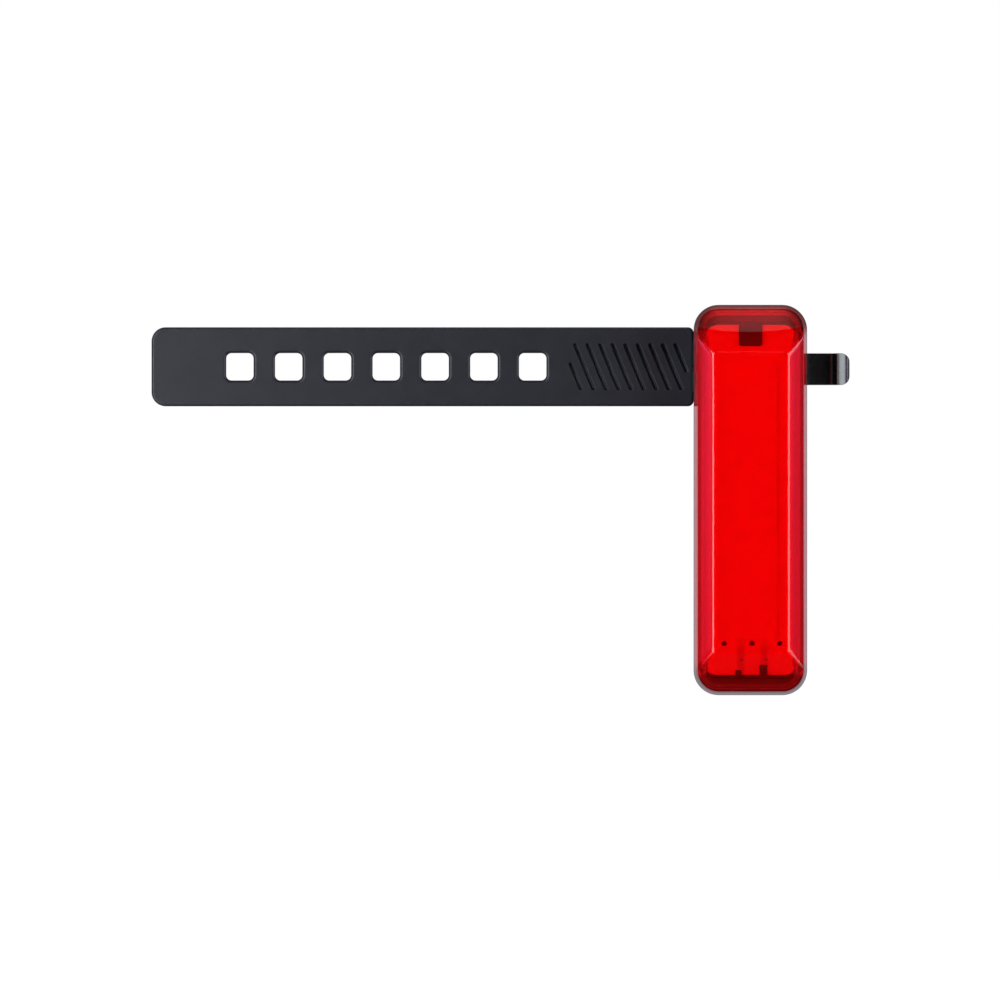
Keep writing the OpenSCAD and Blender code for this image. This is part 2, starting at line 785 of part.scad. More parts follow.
// Arm and ramped lip that the strap's hole is pulled over, as a section in x and y
module hook_section() {
    arm_front = pin_y - hook_t / 2;
    arm_back = pin_y + hook_t / 2;
    lip_x = hook_reach - lip_t;
    ramp_out = [sin(lip_ramp), -cos(lip_ramp)];
    ridge = [lip_x + ridge_r, arm_front - lip_l + ridge_r];
    toe_x = hook_reach - toe_r;
    toe_rise = ((toe_x - ridge[0]) * sin(lip_ramp) + toe_r - ridge_r) / cos(lip_ramp);
    toe = [toe_x, ridge[1] + toe_rise];
    heel = [toe_x, arm_back - toe_r];
    ramp_start = ridge + ridge_r * ramp_out;
    ramp_end = toe + toe_r * ramp_out;
    ramp_steps = 10;
    difference() {
        union() {
            translate([0, arm_front])
                square([toe_x, hook_t]);
            polygon([
                [lip_x, arm_back],
                [lip_x, ridge[1]],
                for (i = [0:ramp_steps])
                    let (t = i / ramp_steps)
                        (1 - t) * ramp_start + t * ramp_end + 4 * ramp_bow * t * (1 - t) * ramp_out,
                [hook_reach, toe[1]],
                [hook_reach, heel[1]],
                [toe_x, arm_back]
            ]);
            translate(ridge)
                circle(r = ridge_r);
            translate(toe)
                circle(r = toe_r);
            translate(heel)
                circle(r = toe_r);
            translate([lip_x - lip_fillet, arm_front - lip_fillet])
                square(lip_fillet);
        }
        translate([lip_x - lip_fillet, arm_front - lip_fillet])
            circle(r = lip_fillet);
    }
}

module strap_hook() {
    intersection() {
        upright(hook_z - hook_h / 2, hook_z + hook_h / 2)
            hook_section();
        translate([0, 0, hook_z])
            forward(0, 2 * back_d)
                union() {
                    translate([0, -hook_h / 2])
                        square([hook_reach - lip_corner, hook_h]);
                    translate([hook_reach / 2, 0])
                        rounded(hook_reach, hook_h, lip_corner);
                }
    }
}

// Ear beside the strap's knuckle
module bracket_ear(z0) {
    translate([-pin_x, pin_y, z0]) {
        cylinder(r = ear_r, h = ear_t);
        translate([0, -ear_r, 0])
            cube([pin_x - waist_x + cut, 2 * ear_r, ear_t]);
    }
}

// Cradle on the back of the light, with the strap's ears and the hook
module mount_bracket() {
    color([0.05, 0.05, 0.055])
        difference() {
            union() {
                intersection() {
                    union() {
                        translate([0, 0, -bracket_bottom])
                            cylinder(r = cradle_r + wing_t, h = bracket_bottom + bracket_top);
                        translate([-waist_x, -back_d, -bracket_bottom])
                            cube([2 * waist_x, plate_t, bracket_bottom + bracket_top]);
                    }
                    saddle_trim(-bracket_bottom, bracket_top);
                }
                for (z = [ear_in, -ear_out])
                    bracket_ear(z);
                strap_hook();
            }
            translate([0, 0, -bracket_bottom - cut])
                cylinder(r = cradle_r, h = bracket_bottom + bracket_top + 2 * cut);
            translate([-pin_x, pin_y, -ear_out - cut])
                cylinder(r = pin_r + press_gap, h = 2 * (ear_out + cut));
            for (z = [0, -screw_drop])
                translate([0, -cradle_r + cut, z])
                    rotate([90, 0, 0]) {
                        cylinder(r = head_r + seat_gap, h = cut + head_seat_d - cradle_r);
                        cylinder(r = screw_r + press_gap, h = cut + plate_t + cut);
                    }
            pad_plugs(press_gap);
        }
}

// Plugs on the pad's back, between the screws and at its lower end
module pad_plugs(gap) {
    for (z = [-screw_drop / 2, -(screw_drop + bracket_bottom) / 2])
        translate([0, -cradle_r + pad_t / 2, z])
            rotate([90, 0, 0])
                cylinder(r = plug_r + gap, h = pad_t / 2 + plug_d + gap);
}

// Two cross-head screws under the pad
module bracket_screws() {
    drive_w = 0.5;
    color([0.6, 0.6, 0.62])
        for (z = [0, -screw_drop])
            translate([0, -head_back_d, z])
                rotate([90, 0, 0])
                    difference() {
                        union() {
                            cylinder(r = head_r, h = head_t);
                            cylinder(r = screw_r, h = head_t + screw_l);
                        }
                        for (turn = [0, 90])
                            rotate(turn)
                                translate([-head_r / 2, -drive_w / 2, -cut])
                                    cube([head_r, drive_w, cut + head_t / 2]);
                    }
}

// Rubber pad that grips the post
module saddle_pad() {
    pad_bottom = -bracket_bottom + pad_border;
    pad_top = bracket_top - pad_border;
    color([0.16, 0.16, 0.17])
        difference() {
            union() {
                intersection() {
                    translate([0, 0, pad_bottom])
                        cylinder(r = cradle_r, h = pad_top - pad_bottom);
                    saddle_trim(pad_bottom, pad_top);
                }
                pad_plugs(0);
            }
            translate([0, 0, pad_bottom - cut])
                cylinder(r = post_r, h = pad_top - pad_bottom + 2 * cut);
        }
}

module strap_pin() {
    color([0.75, 0.75, 0.77])
        translate([-pin_x, pin_y, -ear_out])
            cylinder(r = pin_r, h = 2 * ear_out);
}

// Outline of the strap in x and z, with its holes
module strap_outline() {
    shoulder_x = -pin_x - knuckle_r - seat_gap;
    mid_x = -(strap_reach + first_hole_x) / 2;
    end_w = strap_reach - first_hole_x;
    root_x = (shoulder_x - first_hole_x) / 2;
    root_w = shoulder_x + first_hole_x;
    difference() {
        union() {
            translate([mid_x, 0])
                rounded(end_w, strap_w, strap_end_r);
            translate([root_x, 0])
                rounded(root_w, strap_w, shoulder_r);
            translate([-first_hole_x - strap_end_r, -strap_w / 2])
                square([2 * strap_end_r, strap_w]);
        }
        for (i = [0:hole_count - 1])
            translate([-first_hole_x - i * hole_pitch, 0])
                rounded(hole_w, hole_w, hole_r);
    }
}

// Slanting grip grooves, cut off square at the edges of their field
module grip_grooves() {
    field_w = (groove_count - 1 + 2 * groove_trim) * groove_pitch;
    intersection() {
        translate([-grip_x - field_w, pin_y - strap_t / 2 - cut, -grip_h / 2])
            cube([field_w, cut + groove_d, grip_h]);
        for (i = [0:groove_count - 1])
            translate([-grip_x - (groove_trim + i) * groove_pitch, pin_y - strap_t / 2, 0])
                rotate([0, -groove_lean, 0])
                    cube([groove_w, 2 * groove_d, 2 * grip_h], center = true);
    }
}

// Silicone strap with its knuckle on the pin
module strap() {
    color([0.11, 0.11, 0.12])
        difference() {
            union() {
                forward(-pin_y - strap_t / 2, -pin_y + strap_t / 2)
                    strap_outline();
                translate([-pin_x - knuckle_r - shoulder_r, pin_y - strap_t / 2, -knuckle_l / 2])
                    cube([knuckle_r + shoulder_r, strap_t, knuckle_l]);
                translate([-pin_x, pin_y, -knuckle_l / 2])
                    cylinder(r = knuckle_r, h = knuckle_l);
            }
            translate([-pin_x, pin_y, -knuckle_l / 2 - cut])
                cylinder(r = pin_r + run_gap, h = knuckle_l + 2 * cut);
            grip_grooves();
        }
}

lens_cover();
lens_seal();
rear_housing();
led_board();
led_strip();
board_carrier();
lamp_pins();
main_board();
board_chips();
charge_leds();
battery_cell();
battery_foam();
battery_leads();
usb_socket();
usb_contacts();
usb_cover();
switch_body();
switch_plunger();
power_button();
mount_bracket();
bracket_screws();
saddle_pad();
strap_pin();
strap();
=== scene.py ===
"""Looks of a slim bicycle rear light on a perforated silicone strap.

Everything is in metres in the part's own frame: the seat post's axis is Z, the strap's middle
height is z = 0, and the lens faces -Y.
"""
import math

import bpy
import numpy as np
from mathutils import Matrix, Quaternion, Vector
from mathutils.geometry import tessellate_polygon


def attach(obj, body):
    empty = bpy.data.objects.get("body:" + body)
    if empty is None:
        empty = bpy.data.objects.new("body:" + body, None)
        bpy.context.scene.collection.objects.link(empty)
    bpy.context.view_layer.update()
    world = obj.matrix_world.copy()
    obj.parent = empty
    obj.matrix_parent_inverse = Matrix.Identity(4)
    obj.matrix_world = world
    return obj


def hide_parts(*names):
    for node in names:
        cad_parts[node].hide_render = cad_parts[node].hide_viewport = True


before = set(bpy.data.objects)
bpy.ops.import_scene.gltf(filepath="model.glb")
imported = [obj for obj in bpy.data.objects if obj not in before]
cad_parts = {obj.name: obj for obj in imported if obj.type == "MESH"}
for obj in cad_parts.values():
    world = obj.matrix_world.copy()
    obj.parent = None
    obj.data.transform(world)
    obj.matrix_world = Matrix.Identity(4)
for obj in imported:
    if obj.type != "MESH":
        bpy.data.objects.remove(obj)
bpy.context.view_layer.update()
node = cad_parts
mm = 0.001

# Rear housing. A tray of satin black ABS, moulded with a drafted wall and a wide chamfer round its
# back. Its tongue goes inside the lens, and two bosses take the bracket's screws.


def new_material(name):
    """An empty node material with its shader and output: returns (material, node tree, shader)."""
    material = bpy.data.materials.new(name)
    material.use_nodes = True
    tree = material.node_tree
    return material, tree, tree.nodes["Principled BSDF"]


def noise(tree, scale, detail=2.0):
    """Fractal noise on the piece's own coordinates: scale is in waves per metre."""
    place = tree.nodes.new("ShaderNodeTexCoord")
    texture = tree.nodes.new("ShaderNodeTexNoise")
    texture.inputs["Scale"].default_value = scale
    texture.inputs["Detail"].default_value = detail
    tree.links.new(place.outputs["Object"], texture.inputs["Vector"])
    return texture.outputs["Fac"]


def spread(tree, value, low, high, socket):
    """Maps a noise value from its usual 0.3 to 0.7 onto low to high and feeds it to a socket."""
    reach = tree.nodes.new("ShaderNodeMapRange")
    reach.inputs["From Min"].default_value = 0.3
    reach.inputs["From Max"].default_value = 0.7
    reach.inputs["To Min"].default_value = low
    reach.inputs["To Max"].default_value = high
    tree.links.new(value, reach.inputs["Value"])
    tree.links.new(reach.outputs["Result"], socket)


def two_tone(tree, value, first, second, socket):
    """Blends two close tones of one colour by a noise value."""
    ramp = tree.nodes.new("ShaderNodeValToRGB")
    ramp.color_ramp.elements[0].position = 0.35
    ramp.color_ramp.elements[0].color = (*first, 1)
    ramp.color_ramp.elements[1].position = 0.65
    ramp.color_ramp.elements[1].color = (*second, 1)
    tree.links.new(value, ramp.inputs["Fac"])
    tree.links.new(ramp.outputs["Color"], socket)


def grain(tree, value, height, socket, edge=0.0):
    """Bump of that height in metres from a noise value, over edges softened by a radius."""
    bump = tree.nodes.new("ShaderNodeBump")
    bump.inputs["Strength"].default_value = 1.0
    bump.inputs["Distance"].default_value = height
    tree.links.new(value, bump.inputs["Height"])
    tree.links.new(bump.outputs["Normal"], socket)
    if edge:
        soft = tree.nodes.new("ShaderNodeBevel")
        soft.inputs["Radius"].default_value = edge
        tree.links.new(soft.outputs["Normal"], bump.inputs["Normal"])


def moulded_plastic(name, dark, light, rough_low, rough_high, grain_scale, grain_height, edge=0.0):
    """Moulded plastic or rubber: two close tones, uneven gloss and the mould's fine grain."""
    material, tree, shader = new_material(name)
    two_tone(tree, noise(tree, 260.0, 3.0), dark, light, shader.inputs["Base Color"])
    spread(tree, noise(tree, 700.0, 4.0), rough_low, rough_high, shader.inputs["Roughness"])
    grain(tree, noise(tree, grain_scale), grain_height, shader.inputs["Normal"], edge)
    return material


def finish_node(name, material):
    """Gives a CAD node its material."""
    node[name].data.materials.clear()
    node[name].data.materials.append(material)


housing_plastic = moulded_plastic(
    "housing_plastic", (0.012, 0.012, 0.013), (0.018, 0.018, 0.02), 0.3, 0.42, 5200.0,
    0.000006, 0.2 * mm)
finish_node("rear_housing", housing_plastic)

# Lamp board and lamp strip. A white-coated circuit board fills the lens, and a strip of lamp chips
# under one soft coating is soldered on it. A black carrier frame clips the board at top and bottom.

# Two faint darker stripes on the board's bottom end: where they lie, how wide, where they fade out,
# and their tone.
STRIPES_X = (-2.0 * mm, 2.75 * mm)
STRIPE_HALF_W = 0.35 * mm
STRIPE_FADE = 1.1 * mm
STRIPE_TOP = -55.0 * mm
STRIPE_FULL = -58.0 * mm
STRIPE_TONE = (0.62, 0.58, 0.5, 1)


def striped_board():
    """White coating with two faint darker, warmer stripes that rise from the board's bottom edge by
    the slots and fade out above it.
    """
    material, tree, shader = new_material("white_board")
    place = tree.nodes.new("ShaderNodeTexCoord")
    axes = tree.nodes.new("ShaderNodeSeparateXYZ")
    tree.links.new(place.outputs["Object"], axes.inputs["Vector"])
    low_end = tree.nodes.new("ShaderNodeMapRange")
    low_end.inputs["From Min"].default_value = STRIPE_TOP
    low_end.inputs["From Max"].default_value = STRIPE_FULL
    tree.links.new(axes.outputs["Z"], low_end.inputs["Value"])
    both = tree.nodes.new("ShaderNodeMath")
    both.operation = "ADD"
    for number, stripe_x in enumerate(STRIPES_X):
        aside = tree.nodes.new("ShaderNodeMath")
        aside.operation = "SUBTRACT"
        aside.inputs[1].default_value = stripe_x
        distance = tree.nodes.new("ShaderNodeMath")
        distance.operation = "ABSOLUTE"
        strength = tree.nodes.new("ShaderNodeMapRange")
        strength.interpolation_type = "SMOOTHSTEP"
        strength.inputs["From Min"].default_value = STRIPE_FADE
        strength.inputs["From Max"].default_value = STRIPE_HALF_W
        tree.links.new(axes.outputs["X"], aside.inputs[0])
        tree.links.new(aside.outputs["Value"], distance.inputs[0])
        tree.links.new(distance.outputs["Value"], strength.inputs["Value"])
        tree.links.new(strength.outputs["Result"], both.inputs[number])
    stripe = tree.nodes.new("ShaderNodeMath")
    stripe.operation = "MULTIPLY"
    tree.links.new(both.outputs["Value"], stripe.inputs[0])
    tree.links.new(low_end.outputs["Result"], stripe.inputs[1])
    paint = tree.nodes.new("ShaderNodeMix")
    paint.data_type = "RGBA"
    paint.inputs["B"].default_value = STRIPE_TONE
    tree.links.new(stripe.outputs["Value"], paint.inputs["Factor"])
    two_tone(tree, noise(tree, 260.0, 3.0), (0.86, 0.86, 0.84), (0.9, 0.9, 0.89), paint.inputs["A"])
    tree.links.new(paint.outputs["Result"], shader.inputs["Base Color"])
    spread(tree, noise(tree, 700.0, 4.0), 0.35, 0.45, shader.inputs["Roughness"])
    grain(tree, noise(tree, 3000.0), 0.000004, shader.inputs["Normal"])
    return material


white_board = striped_board()
lamp_coating = moulded_plastic(
    "lamp_coating", (0.86, 0.83, 0.8), (0.9, 0.88, 0.86), 0.5, 0.6, 1500.0, 0.00001)
inner_plastic = moulded_plastic(
    "inner_plastic", (0.02, 0.02, 0.02), (0.03, 0.03, 0.03), 0.45, 0.6, 4000.0, 0.000006)
finish_node("led_board", white_board)
finish_node("led_strip", lamp_coating)
finish_node("charge_leds", lamp_coating)
for name in ("board_carrier", "board_chips", "usb_contacts", "switch_body"):
    finish_node(name, inner_plastic)

# Main board, battery and leads. A green board carries the switch and the charging socket, and a
# foil pouch cell lies behind it on a foam bed. All of it is closed in by the lens.

finish_node("main_board", moulded_plastic(
    "green_board", (0.015, 0.1, 0.04), (0.02, 0.13, 0.05), 0.3, 0.4, 3000.0, 0.000004))
finish_node("battery_foam", moulded_plastic(
    "foam", (0.08, 0.08, 0.085), (0.12, 0.12, 0.125), 0.85, 0.95, 1400.0, 0.00006))
finish_node("battery_leads", moulded_plastic(
    "lead_sleeve", (0.4, 0.015, 0.015), (0.48, 0.02, 0.02), 0.4, 0.5, 3000.0, 0.000004))
finish_node("switch_plunger", moulded_plastic(
    "plunger_plastic", (0.66, 0.66, 0.62), (0.72, 0.72, 0.68), 0.4, 0.5, 3000.0, 0.000004))


def plated_metal(name, dark, light, rough_low, rough_high):
    """Bare or plated metal: two close tones and a fine drawn grain in its gloss."""
    material, tree, shader = new_material(name)
    two_tone(tree, noise(tree, 500.0, 3.0), dark, light, shader.inputs["Base Color"])
    spread(tree, noise(tree, 2400.0, 4.0), rough_low, rough_high, shader.inputs["Roughness"])
    grain(tree, noise(tree, 6000.0), 0.000003, shader.inputs["Normal"])
    shader.inputs["Metallic"].default_value = 1.0
    return material


finish_node("battery_cell", plated_metal(
    "battery_foil", (0.6, 0.61, 0.63), (0.68, 0.69, 0.7), 0.3, 0.42))
socket_steel = plated_metal("socket_steel", (0.56, 0.56, 0.58), (0.66, 0.66, 0.68), 0.22, 0.34)
finish_node("usb_socket", socket_steel)
finish_node("lamp_pins", socket_steel)

# Lens. A clear red polycarbonate cap with a raised, chamfered window and a falling shelf at each
# end. It is moulded in one shot, polished, and snaps over the housing's tongue onto a rubber seal.
PARTING = 27.0 * mm
LENS_HALF_W = 11.52 * mm
LENS_HALF_H = 39.82 * mm
LENS_CORNER = 5.02 * mm
LENS_WALL = 1.3 * mm
LENS_MIDDLE_Z = -27.3 * mm
SHOULDER = 33.4 * mm
WINDOW_FRONT = 36.0 * mm
WINDOW_HALF_W = 7.65 * mm
WINDOW_HALF_H = 30.85 * mm
WINDOW_SHIFT = -0.5 * mm
WINDOW_SLOPE = 3.6 * mm
CHAMFER_BOW = 0.08 * mm
SHELF_FALL = 0.2
SHELF_CROWN = 100.0 * mm
OUTER_CREASE = 0.28 * mm
INNER_CREASE = 1.2 * mm
MITRE_ROUND = 1.2 * mm
OUTER_ROLL = 0.2 * mm
INNER_ROLL = 0.3 * mm
SHOULDER_INSET = 0.65 * mm
WALL_STEPS = 14
WALL_BULGE = 1.8
FINE_LINES = 26
# Painted light at the lens's top end: extra haziness that lights the top shelf red, as light from
# above would. It fades over a reach from the outline and towards the corners.
TOP_PAINTED_LIGHT = 0.45
TOP_PAINTED_LIGHT_REACH = 5.0 * mm
# Painted shade at the lens's top end: a deep red along the face's top outline and on the wall's
# top, a little less deep in the wall's middle.
TOP_PAINTED_SHADE = 1.7
TOP_PAINTED_SHADE_REACH = 2.5 * mm
TOP_WALL_PAINTED_SHADE = 0.85
END_BLUR_REACH = 3.0 * mm
OUTER_BLUR = 0.5
INNER_BLUR = 2.2
WALL_BLUR = 1.8
HAZE_PEAK = 0.36
END_START, END_FADE = 2.0 * mm, 3.0 * mm
CORNER_START, CORNER_FADE = 6.0 * mm, 3.0 * mm
SLOPE_FADE = 1.5 * mm
MITRE_FADE = 0.08
CHAMFER_BLUR = 0.3
# The first colour is painted shade: the deep red of the top outline and of the wall at both ends.
PAINTED_SHADE_RED = (0.25, 0.001, 0.002, 1)
CLEAR_RED = (0.76, 0.003, 0.006, 1)
HAZY_RED = (0.7, 0.003, 0.018, 1)
SHADOW_RED = (0.93, 0.03, 0.04, 1)
OUTER_CLEARING = 0.9
SEAL_WIDTH = 0.8 * mm
SEAL_DEPTH = 0.6 * mm


def soft_min(a, b, width):
    """The smaller of two heights, rounded over where they are within width of each other."""
    share = np.clip(0.5 + 0.5 * (b - a) / width, 0, 1)
    return b + (a - b) * share - width * share * (1 - share)


def edge_distance(x, z, half_w, half_h, corner):
    """Distance of a point inside a round-cornered rectangle from its outline."""
    px = np.abs(x) - (half_w - corner)
    pz = np.abs(z) - (half_h - corner)
    outside = np.hypot(np.maximum(px, 0), np.maximum(pz, 0))
    return corner - outside - np.minimum(np.maximum(px, pz), 0)


def rolled(distance, radius):
    """How far a quarter-round edge has dropped at a distance from the outline."""
    near = np.clip(radius - distance, 0, radius)
    return radius - np.sqrt(radius ** 2 - near ** 2)


def lens_front(x, z, skin, crease, roll):
    """Depth of the lens's face at (x, z): flat window, side chamfers, end slopes and shelves.

    Each profile is a straight line in x or z, the face is their rounded minimum, and its outline
    rolls over by a quarter round. skin draws the whole form in by a wall's thickness, and each
    shelf is crowned across by x squared over twice its radius."""
    flat = WINDOW_FRONT - skin
    edge = SHOULDER - skin
    side_top = WINDOW_HALF_W
    side_base = LENS_HALF_W - SHOULDER_INSET - skin
    across = (np.abs(x) - side_top) / (side_base - side_top)
    side = flat - across * (flat - edge) + 4 * CHAMFER_BOW * across * (1 - across)
    beyond = np.abs(z - WINDOW_SHIFT) - WINDOW_HALF_H
    slope = flat - beyond * (flat - edge) / WINDOW_SLOPE
    shelf = edge - SHELF_FALL * (beyond - WINDOW_SLOPE) - x ** 2 / (2 * SHELF_CROWN)
    end = -soft_min(-slope, -shelf, crease)
    depth = soft_min(np.full_like(x, flat), soft_min(side, end, MITRE_ROUND), crease)
    outline = (LENS_HALF_W - SHOULDER_INSET - skin, LENS_HALF_H - SHOULDER_INSET - skin,
               LENS_CORNER - SHOULDER_INSET - skin)
    return depth - rolled(edge_distance(x, z, *outline), roll)


def lens_grid(half_w, half_h, corner, columns, rows):
    """Points of a round-cornered rectangle: x = u times the half width at that height, z = row."""
    over = np.clip(np.abs(rows) - (half_h - corner), 0, corner)
    width = half_w - corner + np.sqrt(corner ** 2 - over ** 2)
    return columns[None, :] * width[:, None], np.repeat(rows[:, None], len(columns), axis=1)


def lens_columns():
    """Line places across the lens, -1 to 1: close together on the chamfers and at the outline."""
    chamfer, outline = 0.6192, 0.84
    turn = np.linspace(0, math.pi / 2, FINE_LINES)
    places = np.unique(np.round(np.concatenate([
        np.linspace(0, chamfer, 8), np.linspace(chamfer, outline, FINE_LINES),
        outline + (1 - outline) * np.sin(turn)]), 9))
    return np.concatenate([-places[:0:-1], places])


def lens_rows():
    """Line places up the lens, -1 to 1: close together on the end slopes and at the outline."""
    turn = np.linspace(0, math.pi / 2, FINE_LINES)
    places = np.concatenate([
        np.linspace(0, WINDOW_HALF_H - 1.4 * mm, 30),
        np.linspace(WINDOW_HALF_H - 1.2 * mm, WINDOW_HALF_H + WINDOW_SLOPE + 1.0 * mm, 44),
        LENS_HALF_H - LENS_CORNER + LENS_CORNER * np.sin(turn)])
    places = np.unique(np.round(places / LENS_HALF_H, 6))
    return np.concatenate([-places[:0:-1], places])


def rim_loop(grid):
    """The outline of a grid of points, once round, as one array."""
    return np.concatenate([grid[0, :-1], grid[:-1, -1], grid[-1, :0:-1], grid[:0:-1, 0]])


def lens_shell():
    """Outer face, drafted wall, rim with its seal rebate, inner wall and inner face, closed.

    The two faces are height fields on one grid, and loops of the grid's outline join them."""
    columns, rows = lens_columns(), lens_rows()

    def face(skin, crease, roll):
        half_h = LENS_HALF_H - SHOULDER_INSET - skin
        x, z = lens_grid(LENS_HALF_W - SHOULDER_INSET - skin, half_h,
                         LENS_CORNER - SHOULDER_INSET - skin, columns, rows * half_h)
        depth = lens_front(x, z, skin, crease, roll)
        return np.stack([x, -depth, z + LENS_MIDDLE_Z], axis=2)

    def rim(inset, depth):
        half_h = LENS_HALF_H - inset
        x, z = lens_grid(LENS_HALF_W - inset, half_h, LENS_CORNER - inset, columns, rows * half_h)
        return rim_loop(np.stack([x, np.full_like(x, -depth), z + LENS_MIDDLE_Z], axis=2))

    outer = face(0.0, OUTER_CREASE, OUTER_ROLL)
    inner = face(LENS_WALL, INNER_CREASE, INNER_ROLL)
    foot = rim(0.0, PARTING)
    top = rim_loop(outer)
    rise = np.linspace(0.96, 0.04, WALL_STEPS)[:, None, None]
    aside = rise ** WALL_BULGE
    wall = foot + (top - foot) * np.concatenate([aside, rise, aside], axis=2)
    land = LENS_WALL - SEAL_WIDTH
    rebate = PARTING + SEAL_DEPTH
    root = rim(LENS_WALL, rebate)
    ceiling = rim_loop(inner)
    halfway = root + (ceiling - root) * 0.5
    loops = [*wall, foot, rim(land, PARTING), rim(land, rebate), root, halfway]
    return outer, inner, loops


def grid_faces(rows, columns, first, flip):
    """Quads of a grid of points that starts at index first."""
    index = first + np.arange(rows * columns).reshape(rows, columns)
    quads = np.stack([index[:-1, :-1], index[:-1, 1:], index[1:, 1:], index[1:, :-1]], axis=2)
    quads = quads.reshape(-1, 4)
    return quads[:, ::-1] if flip else quads


def loop_faces(upper, lower):
    """Quads between two closed loops of point indices."""
    return np.stack([upper, np.roll(upper, -1), np.roll(lower, -1), lower], axis=1)


def mesh_piece(name, points, faces, material, body, smooth=True):
    """A mesh object at the origin that rides on a body and takes its finish from a slot."""
    mesh = bpy.data.meshes.new(name)
    mesh.from_pydata(points.tolist(), [], [list(face) for face in faces])
    mesh.update()
    mesh.polygons.foreach_set("use_smooth", np.array(np.broadcast_to(smooth, len(mesh.polygons))))
    mesh.materials.append(material)
    piece = bpy.data.objects.new(name, mesh)
    bpy.context.collection.objects.link(piece)
    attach(piece, body)
    return piece


def end_share(z):
    """0 along the lens's straight sides, and up to 1 at its two ends."""
    return np.clip((np.abs(z) - WINDOW_HALF_H - END_START) / END_FADE, 0, 1)


def corner_share(x):
    """0 across the middle of the lens, and up to 1 towards its two sides."""
    return np.clip((np.abs(x) - CORNER_START) / CORNER_FADE, 0, 1)


def face_finish(x, z):
    """Haze and blur of the lens's faces: both grow across the side chamfers, blur grows at both
    ends, and painted light makes the top end hazier, lit red as if from above.

    A chamfer counts where its plane lies below the end slope's, on its side of the mitre line. Haze
    under 0 means clear and deep red: painted shade along the outline at the top."""
    width = LENS_HALF_W - SHOULDER_INSET - WINDOW_HALF_W
    side = (np.abs(x) - WINDOW_HALF_W) / width
    beyond = np.abs(z - WINDOW_SHIFT) - WINDOW_HALF_H
    on_chamfer = np.clip((side - np.maximum(beyond, 0) / WINDOW_SLOPE) / MITRE_FADE + 0.5, 0, 1)
    outward = np.clip((side - HAZE_PEAK) / (1 - HAZE_PEAK), 0, 1)
    side_haze = np.clip(side / HAZE_PEAK, 0, 1) * (1 - OUTER_CLEARING * outward) * on_chamfer
    from_edge = edge_distance(x, z, LENS_HALF_W, LENS_HALF_H, LENS_CORNER)
    at_end = np.clip(beyond / SLOPE_FADE, 0, 1) * (1 - on_chamfer)
    at_top = np.where(z > 0, at_end, 0)
    # Painted light and shade at the top end: a hazy, lit red near the top outline, and a deep red
    # right along it.
    top_painted_light = TOP_PAINTED_LIGHT * (1 - corner_share(x)) * np.clip(1 - from_edge / TOP_PAINTED_LIGHT_REACH, 0, 1)
    top_painted_shade = TOP_PAINTED_SHADE * np.clip(1 - from_edge / TOP_PAINTED_SHADE_REACH, 0, 1)
    end_blur = at_end * np.clip(1.5 - from_edge / END_BLUR_REACH, 0, 1)
    haze_and_painted_light = np.maximum(side_haze, at_top * top_painted_light) - at_top * top_painted_shade
    return haze_and_painted_light, np.maximum(CHAMFER_BLUR * side_haze, end_blur)


def wall_finish(x, z, outside):
    """Haze and blur of the lens's wall: hazy along the sides, and clear and deep red at its ends,
    where the deep red is painted shade, a little less deep across the middle of the top end.

    Its inside is blurred at both ends, and its outside at the top."""
    # Painted shade: the wall turns deep red at both ends, a little less deep across the top's
    # middle.
    top_painted_shade = TOP_WALL_PAINTED_SHADE + (1 - TOP_WALL_PAINTED_SHADE) * corner_share(x)
    haze_and_painted_light = 1 - 2 * end_share(z) * np.where(z > 0, top_painted_shade, 1)
    return haze_and_painted_light, WALL_BLUR * end_share(z) * np.where(outside & (z < 0), 0, 1)


